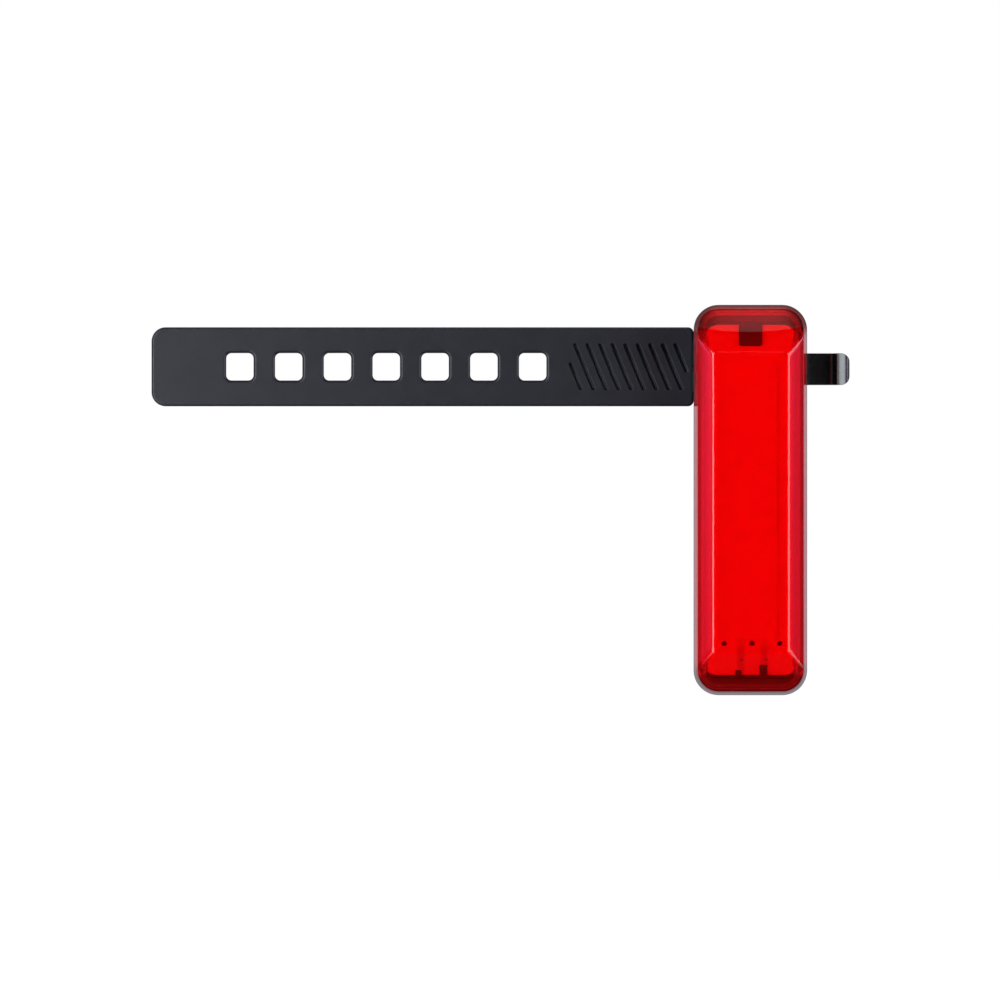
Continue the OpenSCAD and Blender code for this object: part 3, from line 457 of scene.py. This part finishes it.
def red_glass():
    """Clear red plastic: refracting glass that lets the lamps' light through to the board.

    Its tint and clearness follow a per-point share: hazier across the side chamfers and along the
    wall's sides, hazier still near the top outline as painted light from above, and deep red along
    the top outline and at the wall's two ends as painted shade."""
    material, tree, shader = new_material("red_lens")
    # Share below 0 picks the deep red of painted shade; above 0 the hazy red, which at the top end
    # is painted light.
    haze_share = tree.nodes.new("ShaderNodeAttribute")
    haze_share.attribute_name = "haze_and_painted_light"
    tint = tree.nodes.new("ShaderNodeValToRGB")
    tint.color_ramp.elements[0].color = PAINTED_SHADE_RED
    tint.color_ramp.elements[1].color = HAZY_RED
    for position in (0.5, 0.6):
        tint.color_ramp.elements.new(position).color = CLEAR_RED
    depth = tree.nodes.new("ShaderNodeMapRange")
    depth.inputs["From Min"].default_value = -1.0
    clearness = tree.nodes.new("ShaderNodeMapRange")
    clearness.inputs["To Min"].default_value = 0.975
    clearness.inputs["To Max"].default_value = 0.5
    tree.links.new(haze_share.outputs["Fac"], depth.inputs["Value"])
    tree.links.new(depth.outputs["Result"], tint.inputs["Fac"])
    tree.links.new(tint.outputs["Color"], shader.inputs["Base Color"])
    tree.links.new(haze_share.outputs["Fac"], clearness.inputs["Value"])
    tree.links.new(clearness.outputs["Result"], shader.inputs["Transmission Weight"])
    shader.inputs["IOR"].default_value = 1.5
    blur_share = tree.nodes.new("ShaderNodeAttribute")
    blur_share.attribute_name = "blur"
    blur = tree.nodes.new("ShaderNodeMath")
    blur.operation = "MULTIPLY_ADD"
    blur.inputs[1].default_value = 0.3
    tree.links.new(blur_share.outputs["Fac"], blur.inputs[0])
    spread(tree, noise(tree, 900.0, 3.0), 0.015, 0.045, blur.inputs[2])
    tree.links.new(blur.outputs["Value"], shader.inputs["Roughness"])
    path = tree.nodes.new("ShaderNodeLightPath")
    clear = tree.nodes.new("ShaderNodeBsdfTransparent")
    clear.inputs["Color"].default_value = SHADOW_RED
    either = tree.nodes.new("ShaderNodeMixShader")
    tree.links.new(path.outputs["Is Shadow Ray"], either.inputs["Fac"])
    tree.links.new(shader.outputs["BSDF"], either.inputs[1])
    tree.links.new(clear.outputs["BSDF"], either.inputs[2])
    tree.links.new(either.outputs["Shader"], tree.nodes["Material Output"].inputs["Surface"])
    return material


outer_face, inner_face, lens_loops = lens_shell()
face_rows, face_columns = outer_face.shape[:2]
face_count = face_rows * face_columns
outer_index = np.arange(face_count).reshape(face_rows, face_columns)
inner_index = outer_index + face_count
ring = [rim_loop(outer_index)]
for step in range(len(lens_loops)):
    ring.append(2 * face_count + step * len(ring[0]) + np.arange(len(ring[0])))
ring.append(rim_loop(inner_index))
lens_points = np.concatenate([outer_face.reshape(-1, 3), inner_face.reshape(-1, 3), *lens_loops])
lens_faces = [grid_faces(face_rows, face_columns, 0, False),
              grid_faces(face_rows, face_columns, face_count, True)]
lens_faces += [loop_faces(upper, lower)[:, ::-1] for upper, lower in zip(ring[:-1], ring[1:])]
lens = mesh_piece("lens", lens_points, np.concatenate(lens_faces), red_glass(),
                  "light")
lens_x, lens_z = lens_points[:, 0], lens_points[:, 2] - LENS_MIDDLE_Z
on_wall = np.arange(len(lens_points)) >= 2 * face_count
# Shares per point, of haziness and of blur: the first also carries the painted light and shade of
# the lens's ends.
face_haze_and_painted_light, face_blur = face_finish(lens_x[~on_wall], lens_z[~on_wall])
face_blur *= np.repeat([OUTER_BLUR, INNER_BLUR], face_count)
outside = np.arange(on_wall.sum()) < (WALL_STEPS + 1) * len(ring[0])
wall_haze_and_painted_shade, wall_blur = wall_finish(lens_x[on_wall], lens_z[on_wall], outside)
haze_and_painted_light = np.concatenate([face_haze_and_painted_light, wall_haze_and_painted_shade])
blur = np.concatenate([face_blur, wall_blur])
lens.data.attributes.new("haze_and_painted_light", "FLOAT", "POINT").data.foreach_set("value", haze_and_painted_light)
lens.data.attributes.new("blur", "FLOAT", "POINT").data.foreach_set("value", blur)
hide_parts("lens_cover")
finish_node("lens_seal", moulded_plastic(
    "seal_rubber", (0.12, 0.12, 0.12), (0.15, 0.15, 0.15), 0.55, 0.7, 3000.0, 0.00001))

# Button and port cover. Both are black silicone: the button shows in the light's top end and the
# cover lies flush in its bottom end, on a bead that works as its hinge.

soft_silicone = moulded_plastic(
    "soft_silicone", (0.024, 0.024, 0.026), (0.034, 0.034, 0.037), 0.5, 0.62, 4200.0,
    0.000008, 0.15 * mm)
finish_node("power_button", soft_silicone)
finish_node("usb_cover", soft_silicone)

# Bracket. Black nylon, moulded in one with a cradle for the post, two ears and the strap's hook,
# which is polished. Two steel screws hold it to the housing, and a steel pin goes through the ears
# and the strap's root.
HOOK_START = 11.0 * mm
HOOK_POLISHED = 12.5 * mm
HOOK_GLOSS = 0.22


def polished_hook():
    """Black nylon: satin on the bracket, and polished on the hook, which the strap slides over."""
    material, tree, shader = new_material("hook_plastic")
    two_tone(tree, noise(tree, 260.0, 3.0), (0.006, 0.006, 0.007), (0.009, 0.009, 0.01),
             shader.inputs["Base Color"])
    grain(tree, noise(tree, 2600.0), 0.000002, shader.inputs["Normal"], 0.25 * mm)
    place = tree.nodes.new("ShaderNodeTexCoord")
    axes = tree.nodes.new("ShaderNodeSeparateXYZ")
    polish = tree.nodes.new("ShaderNodeMapRange")
    polish.inputs["From Min"].default_value = HOOK_START
    polish.inputs["From Max"].default_value = HOOK_POLISHED
    gloss = tree.nodes.new("ShaderNodeMath")
    gloss.operation = "MULTIPLY_ADD"
    gloss.inputs[1].default_value = -HOOK_GLOSS
    tree.links.new(place.outputs["Object"], axes.inputs["Vector"])
    tree.links.new(axes.outputs["X"], polish.inputs["Value"])
    tree.links.new(polish.outputs["Result"], shader.inputs["Coat Weight"])
    tree.links.new(polish.outputs["Result"], gloss.inputs[0])
    spread(tree, noise(tree, 700.0, 4.0), 0.42, 0.5, gloss.inputs[2])
    tree.links.new(gloss.outputs["Value"], shader.inputs["Roughness"])
    shader.inputs["Coat Roughness"].default_value = 0.2
    shader.inputs["Specular IOR Level"].default_value = 0.9
    return material


finish_node("mount_bracket", polished_hook())
finish_node("bracket_screws", plated_metal(
    "screw_steel", (0.5, 0.5, 0.52), (0.62, 0.62, 0.64), 0.25, 0.38))
finish_node("strap_pin", plated_metal(
    "pin_steel", (0.56, 0.56, 0.58), (0.66, 0.66, 0.68), 0.18, 0.28))

# Saddle pad. A liner of black rubber, moulded with cross grooves that grip the seat post. Plugs on
# its hidden side press into the bracket's cradle.
PAD_INNER_R = 13.6 * mm
PAD_OUTER_R = 15.38 * mm
PAD_LEVELS = (-34.8 * mm, -8.7 * mm, 10.9 * mm)
PAD_HALF_WIDTHS = (11.2 * mm, 6.4 * mm)
GRIP_PITCH = 2.9 * mm
GRIP_DEPTH = 0.4 * mm
GRIP_RUN_OUT = 0.5 * mm
PAD_ROLL = 0.1 * mm
PAD_ROW = 0.15 * mm


def pad_block(half_w, low, high):
    """A curved block of the liner: a plain face on the cradle's side, a grooved one on the post's.

    Both faces are y = -sqrt(r^2 - x^2). The grooved one has r = PAD_INNER_R, plus
    GRIP_DEPTH cos^10(pi z / GRIP_PITCH) from the wings' top edge, plus a quarter round at its
    outline, where the grooves run out."""
    across = half_w * np.sin(np.linspace(-math.pi / 2, math.pi / 2, 61))
    x, z = np.meshgrid(across, np.linspace(low, high, round((high - low) / PAD_ROW)))
    groove = GRIP_DEPTH * np.cos(math.pi * (z - PAD_LEVELS[1]) / GRIP_PITCH) ** 10
    edge = np.minimum(half_w - np.abs(x), np.minimum(z - low, high - z))
    near = PAD_INNER_R + groove * np.clip(edge / GRIP_RUN_OUT, 0, 1) + rolled(edge, PAD_ROLL)
    far = np.full_like(x, PAD_OUTER_R)
    return [np.stack([x, -np.sqrt(r ** 2 - x ** 2), z], axis=2) for r in (far, near)]


pad_points, pad_faces, pad_first = [], [], 0
for half_w, low, high in zip(PAD_HALF_WIDTHS, PAD_LEVELS[:-1], PAD_LEVELS[1:]):
    cradle_side, post_side = pad_block(half_w, low, high)
    rows, columns = cradle_side.shape[:2]
    cradle_index = pad_first + np.arange(rows * columns).reshape(rows, columns)
    post_index = cradle_index + rows * columns
    pad_faces += [grid_faces(rows, columns, pad_first, False),
                  grid_faces(rows, columns, pad_first + rows * columns, True),
                  loop_faces(rim_loop(cradle_index), rim_loop(post_index))[:, ::-1]]
    pad_points += [cradle_side.reshape(-1, 3), post_side.reshape(-1, 3)]
    pad_first += 2 * rows * columns
pad_rubber = moulded_plastic(
    "pad_rubber", (0.03, 0.03, 0.032), (0.036, 0.036, 0.039), 0.6, 0.72, 2600.0, 0.00001)
pad = mesh_piece("saddle_liner", np.concatenate(pad_points), np.concatenate(pad_faces), pad_rubber,
                 "light")
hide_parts("saddle_pad")

# Strap. One moulding of black silicone, with rounded edges, a row of square holes and slanting
# grip grooves. A knuckle at its root turns on the bracket's pin.
STRAP_Y = -16.4 * mm
STRAP_HALF_T = 1.2 * mm
STRAP_HALF_W = 8.1 * mm
STRAP_END = -122.6 * mm
STRAP_SHOULDER = -11.5 * mm
STRAP_END_CORNER = 2.9 * mm
STRAP_SHOULDER_CORNER = 1.2 * mm
STRAP_EDGE = 0.5 * mm
FIRST_HOLE = -44.5 * mm
HOLE_PITCH = 10.0 * mm
HOLE_COUNT = 7
HOLE_HALF = 2.8 * mm
HOLE_CORNER = 1.1 * mm
HOLE_EDGE = 0.6 * mm
GROOVE_COUNT = 10
GROOVE_PITCH = 2.58 * mm
GROOVE_HALF_W = 0.35 * mm
GROOVE_LEAN = math.radians(23)
GROOVE_DEPTH = 0.9 * mm
GROOVE_CORNER = 0.22 * mm
GROOVE_LIP = 0.14 * mm
GROOVE_MARGIN = 0.2 * mm
FLOOR_INSETS = np.array([0.02, 0.05, 0.12]) * mm
FLOOR_DEPTHS = np.array([0.7, 0.92, 1.0]) * GROOVE_DEPTH
GRIP_NEAR = -12.7 * mm
GRIP_FAR = -37.1 * mm
GRIP_HALF_H = 4.7 * mm
KNUCKLE_X = -9.1 * mm
KNUCKLE_R = 2.3 * mm
KNUCKLE_HALF_L = 5.4 * mm
PIN_R = 1.06 * mm


def rounded_outline(corners, radii, steps):
    """Points and outward normals of a convex polygon, counter-clockwise, with round corners.

    Each corner's arc is centred where the two edges, moved in by the radius, meet."""
    corners = np.asarray(corners, float)
    radii = np.broadcast_to(np.asarray(radii, float), len(corners))
    edge = np.roll(corners, -1, axis=0) - corners
    edge /= np.linalg.norm(edge, axis=1, keepdims=True)
    out_next = np.stack([edge[:, 1], -edge[:, 0]], axis=1)
    out_last = np.roll(out_next, 1, axis=0)
    bisector = out_next + out_last
    bisector /= np.sum(bisector * out_next, axis=1, keepdims=True)
    centre = corners - radii[:, None] * bisector
    start = np.arctan2(out_last[:, 1], out_last[:, 0])
    turn = (np.arctan2(out_next[:, 1], out_next[:, 0]) - start) % (2 * math.pi)
    angle = start[:, None] + turn[:, None] * np.linspace(0, 1, steps)[None, :]
    normals = np.stack([np.cos(angle), np.sin(angle)], axis=2)
    points = centre[:, None, :] + radii[:, None, None] * normals
    return points.reshape(-1, 2), normals.reshape(-1, 2)


def carried(outline, profile):
    """A profile of (outward offset, y) pairs carried round an outline: rows of 3-D points."""
    points, normals = outline
    offset, y = np.asarray(profile).T
    flat = points[None] + offset[:, None, None] * normals[None]
    depth = np.broadcast_to(y[:, None], flat.shape[:2])
    return np.stack([flat[..., 0], depth, flat[..., 1]], axis=2)


def quarter(radius, steps):
    """Insets and drops of a quarter-round edge, from the flat face to the wall."""
    turn = np.linspace(0, math.pi / 2, steps)
    return radius * (1 - np.sin(turn)), radius * (1 - np.cos(turn))


def plate_edge(front, back, radius, outward):
    """Profile of a plate's edge: quarter round, wall, quarter round, from its front to its back."""
    inset, drop = quarter(radius, 6)
    there = np.stack([-outward * inset, front + drop], axis=1)
    again = np.stack([-outward * inset, back - drop], axis=1)[::-1]
    return np.concatenate([there, again])


def filled(loops):
    """Triangles of a flat region inside the first loop and outside the others, by running index."""
    return np.array(tessellate_polygon([[Vector((p[0], p[2], 0)) for p in loop] for loop in loops]))


def facing(points, triangles, sign):
    """Triangles of one flat region, all turned so that its normal has that sign in y."""
    a, b, c = (points[triangles[:, k]] for k in range(3))
    area_y = np.cross(b - a, c - a)[:, 1].sum()
    return triangles[:, ::-1] if area_y * sign < 0 else triangles


def strap_mesh():
    """Two flat faces joined by rounded edges round the outline and the holes, with sunk grooves."""
    front = STRAP_Y - STRAP_HALF_T
    back = STRAP_Y + STRAP_HALF_T
    rim = rounded_outline(
        [(STRAP_END, -STRAP_HALF_W), (STRAP_SHOULDER, -STRAP_HALF_W),
         (STRAP_SHOULDER, STRAP_HALF_W), (STRAP_END, STRAP_HALF_W)],
        [STRAP_END_CORNER, STRAP_SHOULDER_CORNER, STRAP_SHOULDER_CORNER, STRAP_END_CORNER], 14)
    rows = [carried(rim, plate_edge(front, back, STRAP_EDGE, 1))]
    square = np.array([(-1, -1), (1, -1), (1, 1), (-1, 1)]) * HOLE_HALF
    for k in range(HOLE_COUNT):
        hole = rounded_outline(square + (FIRST_HOLE - k * HOLE_PITCH, 0), HOLE_CORNER, 9)
        rows.append(carried(hole, plate_edge(front, back, HOLE_EDGE, -1)))
    grooves = []
    for k in range(GROOVE_COUNT):
        middle = GRIP_NEAR - (0.25 + k) * GROOVE_PITCH
        high, low = GRIP_HALF_H, -GRIP_HALF_H
        lean = math.tan(GROOVE_LEAN)
        low = max(low, -(GRIP_NEAR - GROOVE_MARGIN - middle) / lean)
        high = min(high, (middle - GRIP_FAR - GROOVE_MARGIN) / lean)
        half = GROOVE_HALF_W / math.cos(GROOVE_LEAN)
        slot = rounded_outline(
            [(middle - half - low * lean, low), (middle + half - low * lean, low),
             (middle + half - high * lean, high), (middle - half - high * lean, high)],
            GROOVE_CORNER, 5)
        inset, drop = quarter(GROOVE_LIP, 4)
        lip = np.stack([inset, front + drop], axis=1)
        floor = np.stack([-FLOOR_INSETS, front + FLOOR_DEPTHS], axis=1)
        grooves.append(carried(slot, np.concatenate([lip, floor])))
    points, faces, smooth = [], [], []
    first = 0
    front_loops, back_loops, front_index, back_index = [], [], [], []

    def add(strip, reverse):
        nonlocal first
        count, length = strip.shape[:2]
        index = first + np.arange(count * length).reshape(count, length)
        quads = np.concatenate([loop_faces(index[r], index[r + 1]) for r in range(count - 1)])
        points.append(strip.reshape(-1, 3))
        faces.extend((quads[:, ::-1] if reverse else quads).tolist())
        smooth.extend([True] * len(quads))
        first += count * length
        return index

    for number, strip in enumerate(rows):
        index = add(strip, number == 0)
        front_loops.append(strip[0])
        front_index.append(index[0])
        back_loops.append(strip[-1])
        back_index.append(index[-1])
    floors = []
    for strip in grooves:
        index = add(strip, False)
        front_loops.append(strip[0])
        front_index.append(index[0])
        floors.append(index[-1])
    everything = np.concatenate(points)
    front_tris = np.concatenate(front_index)[filled(front_loops)]
    back_tris = np.concatenate(back_index)[filled(back_loops)]
    front_tris = facing(everything, front_tris, -1)
    back_tris = facing(everything, back_tris, 1)
    faces.extend(front_tris.tolist() + back_tris.tolist() + [floor.tolist() for floor in floors])
    smooth.extend([False] * (len(front_tris) + len(back_tris)) + [True] * len(floors))
    return everything, faces, smooth


def silicone():
    """Matte silicone: nearly black, a little dusty, with a soft sheen and a fine mould grain."""
    material, tree, shader = new_material("strap_silicone")
    two_tone(tree, noise(tree, 180.0, 4.0), (0.006, 0.0066, 0.0115), (0.0078, 0.0085, 0.0145),
             shader.inputs["Base Color"])
    spread(tree, noise(tree, 600.0, 4.0), 0.4, 0.45, shader.inputs["Roughness"])
    grain(tree, noise(tree, 5200.0), 0.000004, shader.inputs["Normal"])
    return material


strap_points, strap_faces, strap_smooth = strap_mesh()
strap = mesh_piece("strap_band", strap_points, strap_faces, silicone(), "strap",
                   np.array(strap_smooth))

# Knuckle. The strap's root is moulded round the pin as a short barrel of the same silicone, which
# turns between the bracket's ears. A web, a little thinner than the strap, joins the two.
BARREL_EDGE = 0.35 * mm
BARREL_STEPS = 48
WEB_LAP = 1.5 * mm
WEB_REACH = 1.3 * mm
WEB_HALF_T = 1.15 * mm
WEB_EDGE = 0.3 * mm
WEB_CORNER = 0.2 * mm


def turned(profile, x, y, steps):
    """A closed profile of (radius, z) pairs turned about an upright axis at (x, y)."""
    radius, z = np.asarray(profile).T
    angle = np.linspace(0, 2 * math.pi, steps, endpoint=False)
    ring_x = x + radius[:, None] * np.cos(angle)[None, :]
    ring_y = y + radius[:, None] * np.sin(angle)[None, :]
    return np.stack([ring_x, ring_y, np.broadcast_to(z[:, None], ring_x.shape)], axis=2)


barrel_inset, barrel_drop = quarter(BARREL_EDGE, 5)
barrel_top = np.stack([KNUCKLE_R - barrel_inset, KNUCKLE_HALF_L - barrel_drop], axis=1)
barrel = np.concatenate([[(PIN_R, -KNUCKLE_HALF_L), (PIN_R, KNUCKLE_HALF_L)], barrel_top,
                         (barrel_top * (1, -1))[::-1]])
barrel_rows = turned(barrel, KNUCKLE_X, STRAP_Y, BARREL_STEPS)
barrel_index = np.arange(barrel_rows.shape[0] * BARREL_STEPS).reshape(-1, BARREL_STEPS)
barrel_faces = np.concatenate([
    loop_faces(barrel_index[r], barrel_index[r - 1]) for r in range(len(barrel_index))])
mesh_piece("strap_knuckle", barrel_rows.reshape(-1, 3), barrel_faces, strap.data.materials[0],
           "strap")
web_ends = (STRAP_SHOULDER - WEB_LAP, KNUCKLE_X - WEB_REACH)
web_outline = rounded_outline(
    [(web_ends[0], -KNUCKLE_HALF_L), (web_ends[1], -KNUCKLE_HALF_L),
     (web_ends[1], KNUCKLE_HALF_L), (web_ends[0], KNUCKLE_HALF_L)], WEB_CORNER, 4)
web_profile = plate_edge(STRAP_Y - WEB_HALF_T, STRAP_Y + WEB_HALF_T, WEB_EDGE, 1)
web_rows = carried(web_outline, web_profile)
web_count = web_rows.shape[1]
web_index = np.arange(web_rows.shape[0] * web_count).reshape(-1, web_count)
web_faces = np.concatenate([
    loop_faces(web_index[r + 1], web_index[r]) for r in range(len(web_index) - 1)]).tolist()
web_faces += [web_index[0].tolist(), web_index[-1][::-1].tolist()]
mesh_piece("strap_web", web_rows.reshape(-1, 3), web_faces, strap.data.materials[0],
           "strap")
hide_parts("strap")

# Studio. A white floor and a white surround, dark only behind the camera, with soft lamps at the
# left, the right and above. The camera stands far off, straight in front of the lens.
FRAME_MIDDLE = (-51.2 * mm, -27.3 * mm)
FRAME_WIDTH = 204.5 * mm
CAMERA_DISTANCE = 5.0
SENSOR = 36.0
FLOOR_Z = -0.2
FLOOR_HALF = 6.0
PANEL_TONE = (0.75, 0.42, 1.0)

floor_mesh = bpy.data.meshes.new("floor")
floor_corners = [(x * FLOOR_HALF, y * FLOOR_HALF, FLOOR_Z)
                 for x, y in ((-1, -1), (1, -1), (1, 1), (-1, 1))]
floor_mesh.from_pydata(floor_corners, [], [(0, 1, 2, 3)])
floor = bpy.data.objects.new("floor", floor_mesh)
bpy.context.collection.objects.link(floor)
floor_paint, floor_tree, floor_shader = new_material("floor_white")
floor_shader.inputs["Base Color"].default_value = (0.9, 0.9, 0.9, 1)
floor_shader.inputs["Roughness"].default_value = 0.9
floor_shader.inputs["Emission Color"].default_value = (1, 1, 1, 1)
floor_path = floor_tree.nodes.new("ShaderNodeLightPath")
floor_lift = floor_tree.nodes.new("ShaderNodeMath")
floor_lift.operation = "MULTIPLY"
floor_lift.inputs[1].default_value = 0.8
floor_tree.links.new(floor_path.outputs["Is Camera Ray"], floor_lift.inputs[0])
floor_tree.links.new(floor_lift.outputs["Value"], floor_shader.inputs["Emission Strength"])
floor_gone = floor_tree.nodes.new("ShaderNodeBsdfTransparent")
floor_either = floor_tree.nodes.new("ShaderNodeMixShader")
floor_tree.links.new(floor_path.outputs["Is Glossy Ray"], floor_either.inputs["Fac"])
floor_tree.links.new(floor_shader.outputs["BSDF"], floor_either.inputs[1])
floor_tree.links.new(floor_gone.outputs["BSDF"], floor_either.inputs[2])
floor_out = floor_tree.nodes["Material Output"]
floor_tree.links.new(floor_either.outputs["Shader"], floor_out.inputs["Surface"])
floor_mesh.materials.append(floor_paint)

world = bpy.data.worlds.new("studio")
bpy.context.scene.world = world
world.use_nodes = True
sky = world.node_tree
background = sky.nodes["Background"]
path = sky.nodes.new("ShaderNodeLightPath")
direction = sky.nodes.new("ShaderNodeTexCoord")
axes = sky.nodes.new("ShaderNodeSeparateXYZ")
along = sky.nodes.new("ShaderNodeMapRange")
along.inputs["From Min"].default_value = -1.0
surround = sky.nodes.new("ShaderNodeValToRGB")
surround.color_ramp.elements[0].position = 0.04
surround.color_ramp.elements[0].color = (0.008, 0.008, 0.01, 1)
surround.color_ramp.elements[1].position = 0.85
surround.color_ramp.elements[1].color = (0.5, 0.47, 0.52, 1)
front_tone = surround.color_ramp.elements.new(0.35)
front_tone.color = (0.04, 0.036, 0.05, 1)
side_tone = surround.color_ramp.elements.new(0.45)
side_tone.color = (0.1, 0.085, 0.13, 1)
above = sky.nodes.new("ShaderNodeMapRange")
above.inputs["From Min"].default_value = 0.08
above.inputs["From Max"].default_value = 0.26
above.inputs["To Min"].default_value = 1.0
above.inputs["To Max"].default_value = 0.4
mirrored = sky.nodes.new("ShaderNodeVectorMath")
mirrored.operation = "SCALE"
reflected = sky.nodes.new("ShaderNodeMix")
reflected.data_type = "RGBA"
reflected.inputs["A"].default_value = (0.3, 0.3, 0.3, 1)
seen = sky.nodes.new("ShaderNodeMath")
seen.operation = "MAXIMUM"
level = sky.nodes.new("ShaderNodeMix")
level.data_type = "RGBA"
level.inputs["B"].default_value = (1, 1, 1, 1)
for start, end in (
        (direction.outputs["Generated"], axes.inputs["Vector"]),
        (axes.outputs["Y"], along.inputs["Value"]),
        (along.outputs["Result"], surround.inputs["Fac"]),
        (axes.outputs["Z"], above.inputs["Value"]),
        (surround.outputs["Color"], mirrored.inputs["Vector"]),
        (above.outputs["Result"], mirrored.inputs["Scale"]),
        (path.outputs["Is Glossy Ray"], reflected.inputs["Factor"]),
        (mirrored.outputs["Vector"], reflected.inputs["B"]),
        (path.outputs["Is Camera Ray"], seen.inputs[0]),
        (path.outputs["Is Transmission Ray"], seen.inputs[1]),
        (seen.outputs["Value"], level.inputs["Factor"]),
        (reflected.outputs["Result"], level.inputs["A"]),
        (level.outputs["Result"], background.inputs["Color"])):
    sky.links.new(start, end)


def soft_lamp(name, place, target, width, height, power, colour=(1, 1, 1), roll=0.0):
    """A softbox that faces a point, turned about its own axis by roll degrees."""
    lamp = bpy.data.lights.new(name, "AREA")
    lamp.color = colour
    lamp.shape = "RECTANGLE"
    lamp.size = width
    lamp.size_y = height
    lamp.energy = power
    holder = bpy.data.objects.new(name, lamp)
    bpy.context.collection.objects.link(holder)
    holder.location = place
    aim = (Vector(target) - Vector(place)).to_track_quat("-Z", "Y")
    holder.rotation_euler = (aim @ Quaternion((0, 0, 1), math.radians(roll))).to_euler()
    return lamp


def lamp_axes(lamp):
    """A softbox's node tree, and the places across and up its face, each from 0 to 1."""
    lamp.use_nodes = True
    tree = lamp.node_tree
    place = tree.nodes.new("ShaderNodeNewGeometry")
    axes = tree.nodes.new("ShaderNodeSeparateXYZ")
    tree.links.new(place.outputs["Parametric"], axes.inputs["Vector"])
    return tree, axes.outputs["X"], axes.outputs["Y"]


def short_below(lamp):
    """Makes a softbox fade out over its lower third."""
    tree, _, up = lamp_axes(lamp)
    rise = tree.nodes.new("ShaderNodeMapRange")
    rise.inputs["From Min"].default_value = 0.1
    rise.inputs["From Max"].default_value = 0.3
    tree.links.new(up, rise.inputs["Value"])
    tree.links.new(rise.outputs["Result"], tree.nodes["Emission"].inputs["Strength"])


def faded(lamp, near_edge):
    """Makes a softbox fade towards its bottom and away from its near edge, at 0 or 1 across."""
    tree, across, up = lamp_axes(lamp)
    aside = tree.nodes.new("ShaderNodeMapRange")
    aside.inputs["To Min"].default_value = 1.0 - near_edge
    aside.inputs["To Max"].default_value = near_edge
    both = tree.nodes.new("ShaderNodeMath")
    both.operation = "MULTIPLY"
    tree.links.new(across, aside.inputs["Value"])
    tree.links.new(aside.outputs["Result"], both.inputs[0])
    tree.links.new(up, both.inputs[1])
    tree.links.new(both.outputs["Value"], tree.nodes["Emission"].inputs["Strength"])


short_below(soft_lamp("left_box", (-0.265, -0.33, -0.08), (-0.04, -0.02, -0.08), 0.18, 0.56, 1.8,
                      (0.93, 0.95, 1.0)))
short_below(soft_lamp("right_box", (0.36, -0.33, -0.08), (0.02, -0.02, -0.08), 0.3, 0.56, 1.85,
                      (0.9, 0.98, 1.0)))
soft_lamp("shelf_box", (0.008, -0.68, 0.325), (0.0, -0.03, 0.05), 0.26, 0.12, 0.062, roll=-11.3)
soft_lamp("over_box", (-0.03, 0.1, 0.45), (-0.03, 0.0, 0.0), 0.3, 0.25, 0.7)
faded(soft_lamp("left_panel", (-0.5, -0.165, 0.08), (0.0, -0.034, 0.08), 0.2, 0.36, 1.0,
                PANEL_TONE), 1.0)
faded(soft_lamp("right_panel", (0.5, -0.165, 0.08), (0.0, -0.034, 0.08), 0.2, 0.36, 0.7,
                PANEL_TONE), 0.0)

lens_optics = bpy.data.cameras.new("camera")
lens_optics.sensor_width = SENSOR
lens_optics.lens = SENSOR * CAMERA_DISTANCE / FRAME_WIDTH
lens_optics.clip_end = 100.0
camera = bpy.data.objects.new("camera", lens_optics)
bpy.context.collection.objects.link(camera)
camera.location = (FRAME_MIDDLE[0], -PARTING - CAMERA_DISTANCE, FRAME_MIDDLE[1])
camera.rotation_euler = (math.pi / 2, 0, 0)
bpy.context.scene.camera = camera
bpy.context.scene.view_settings.view_transform = "Standard"
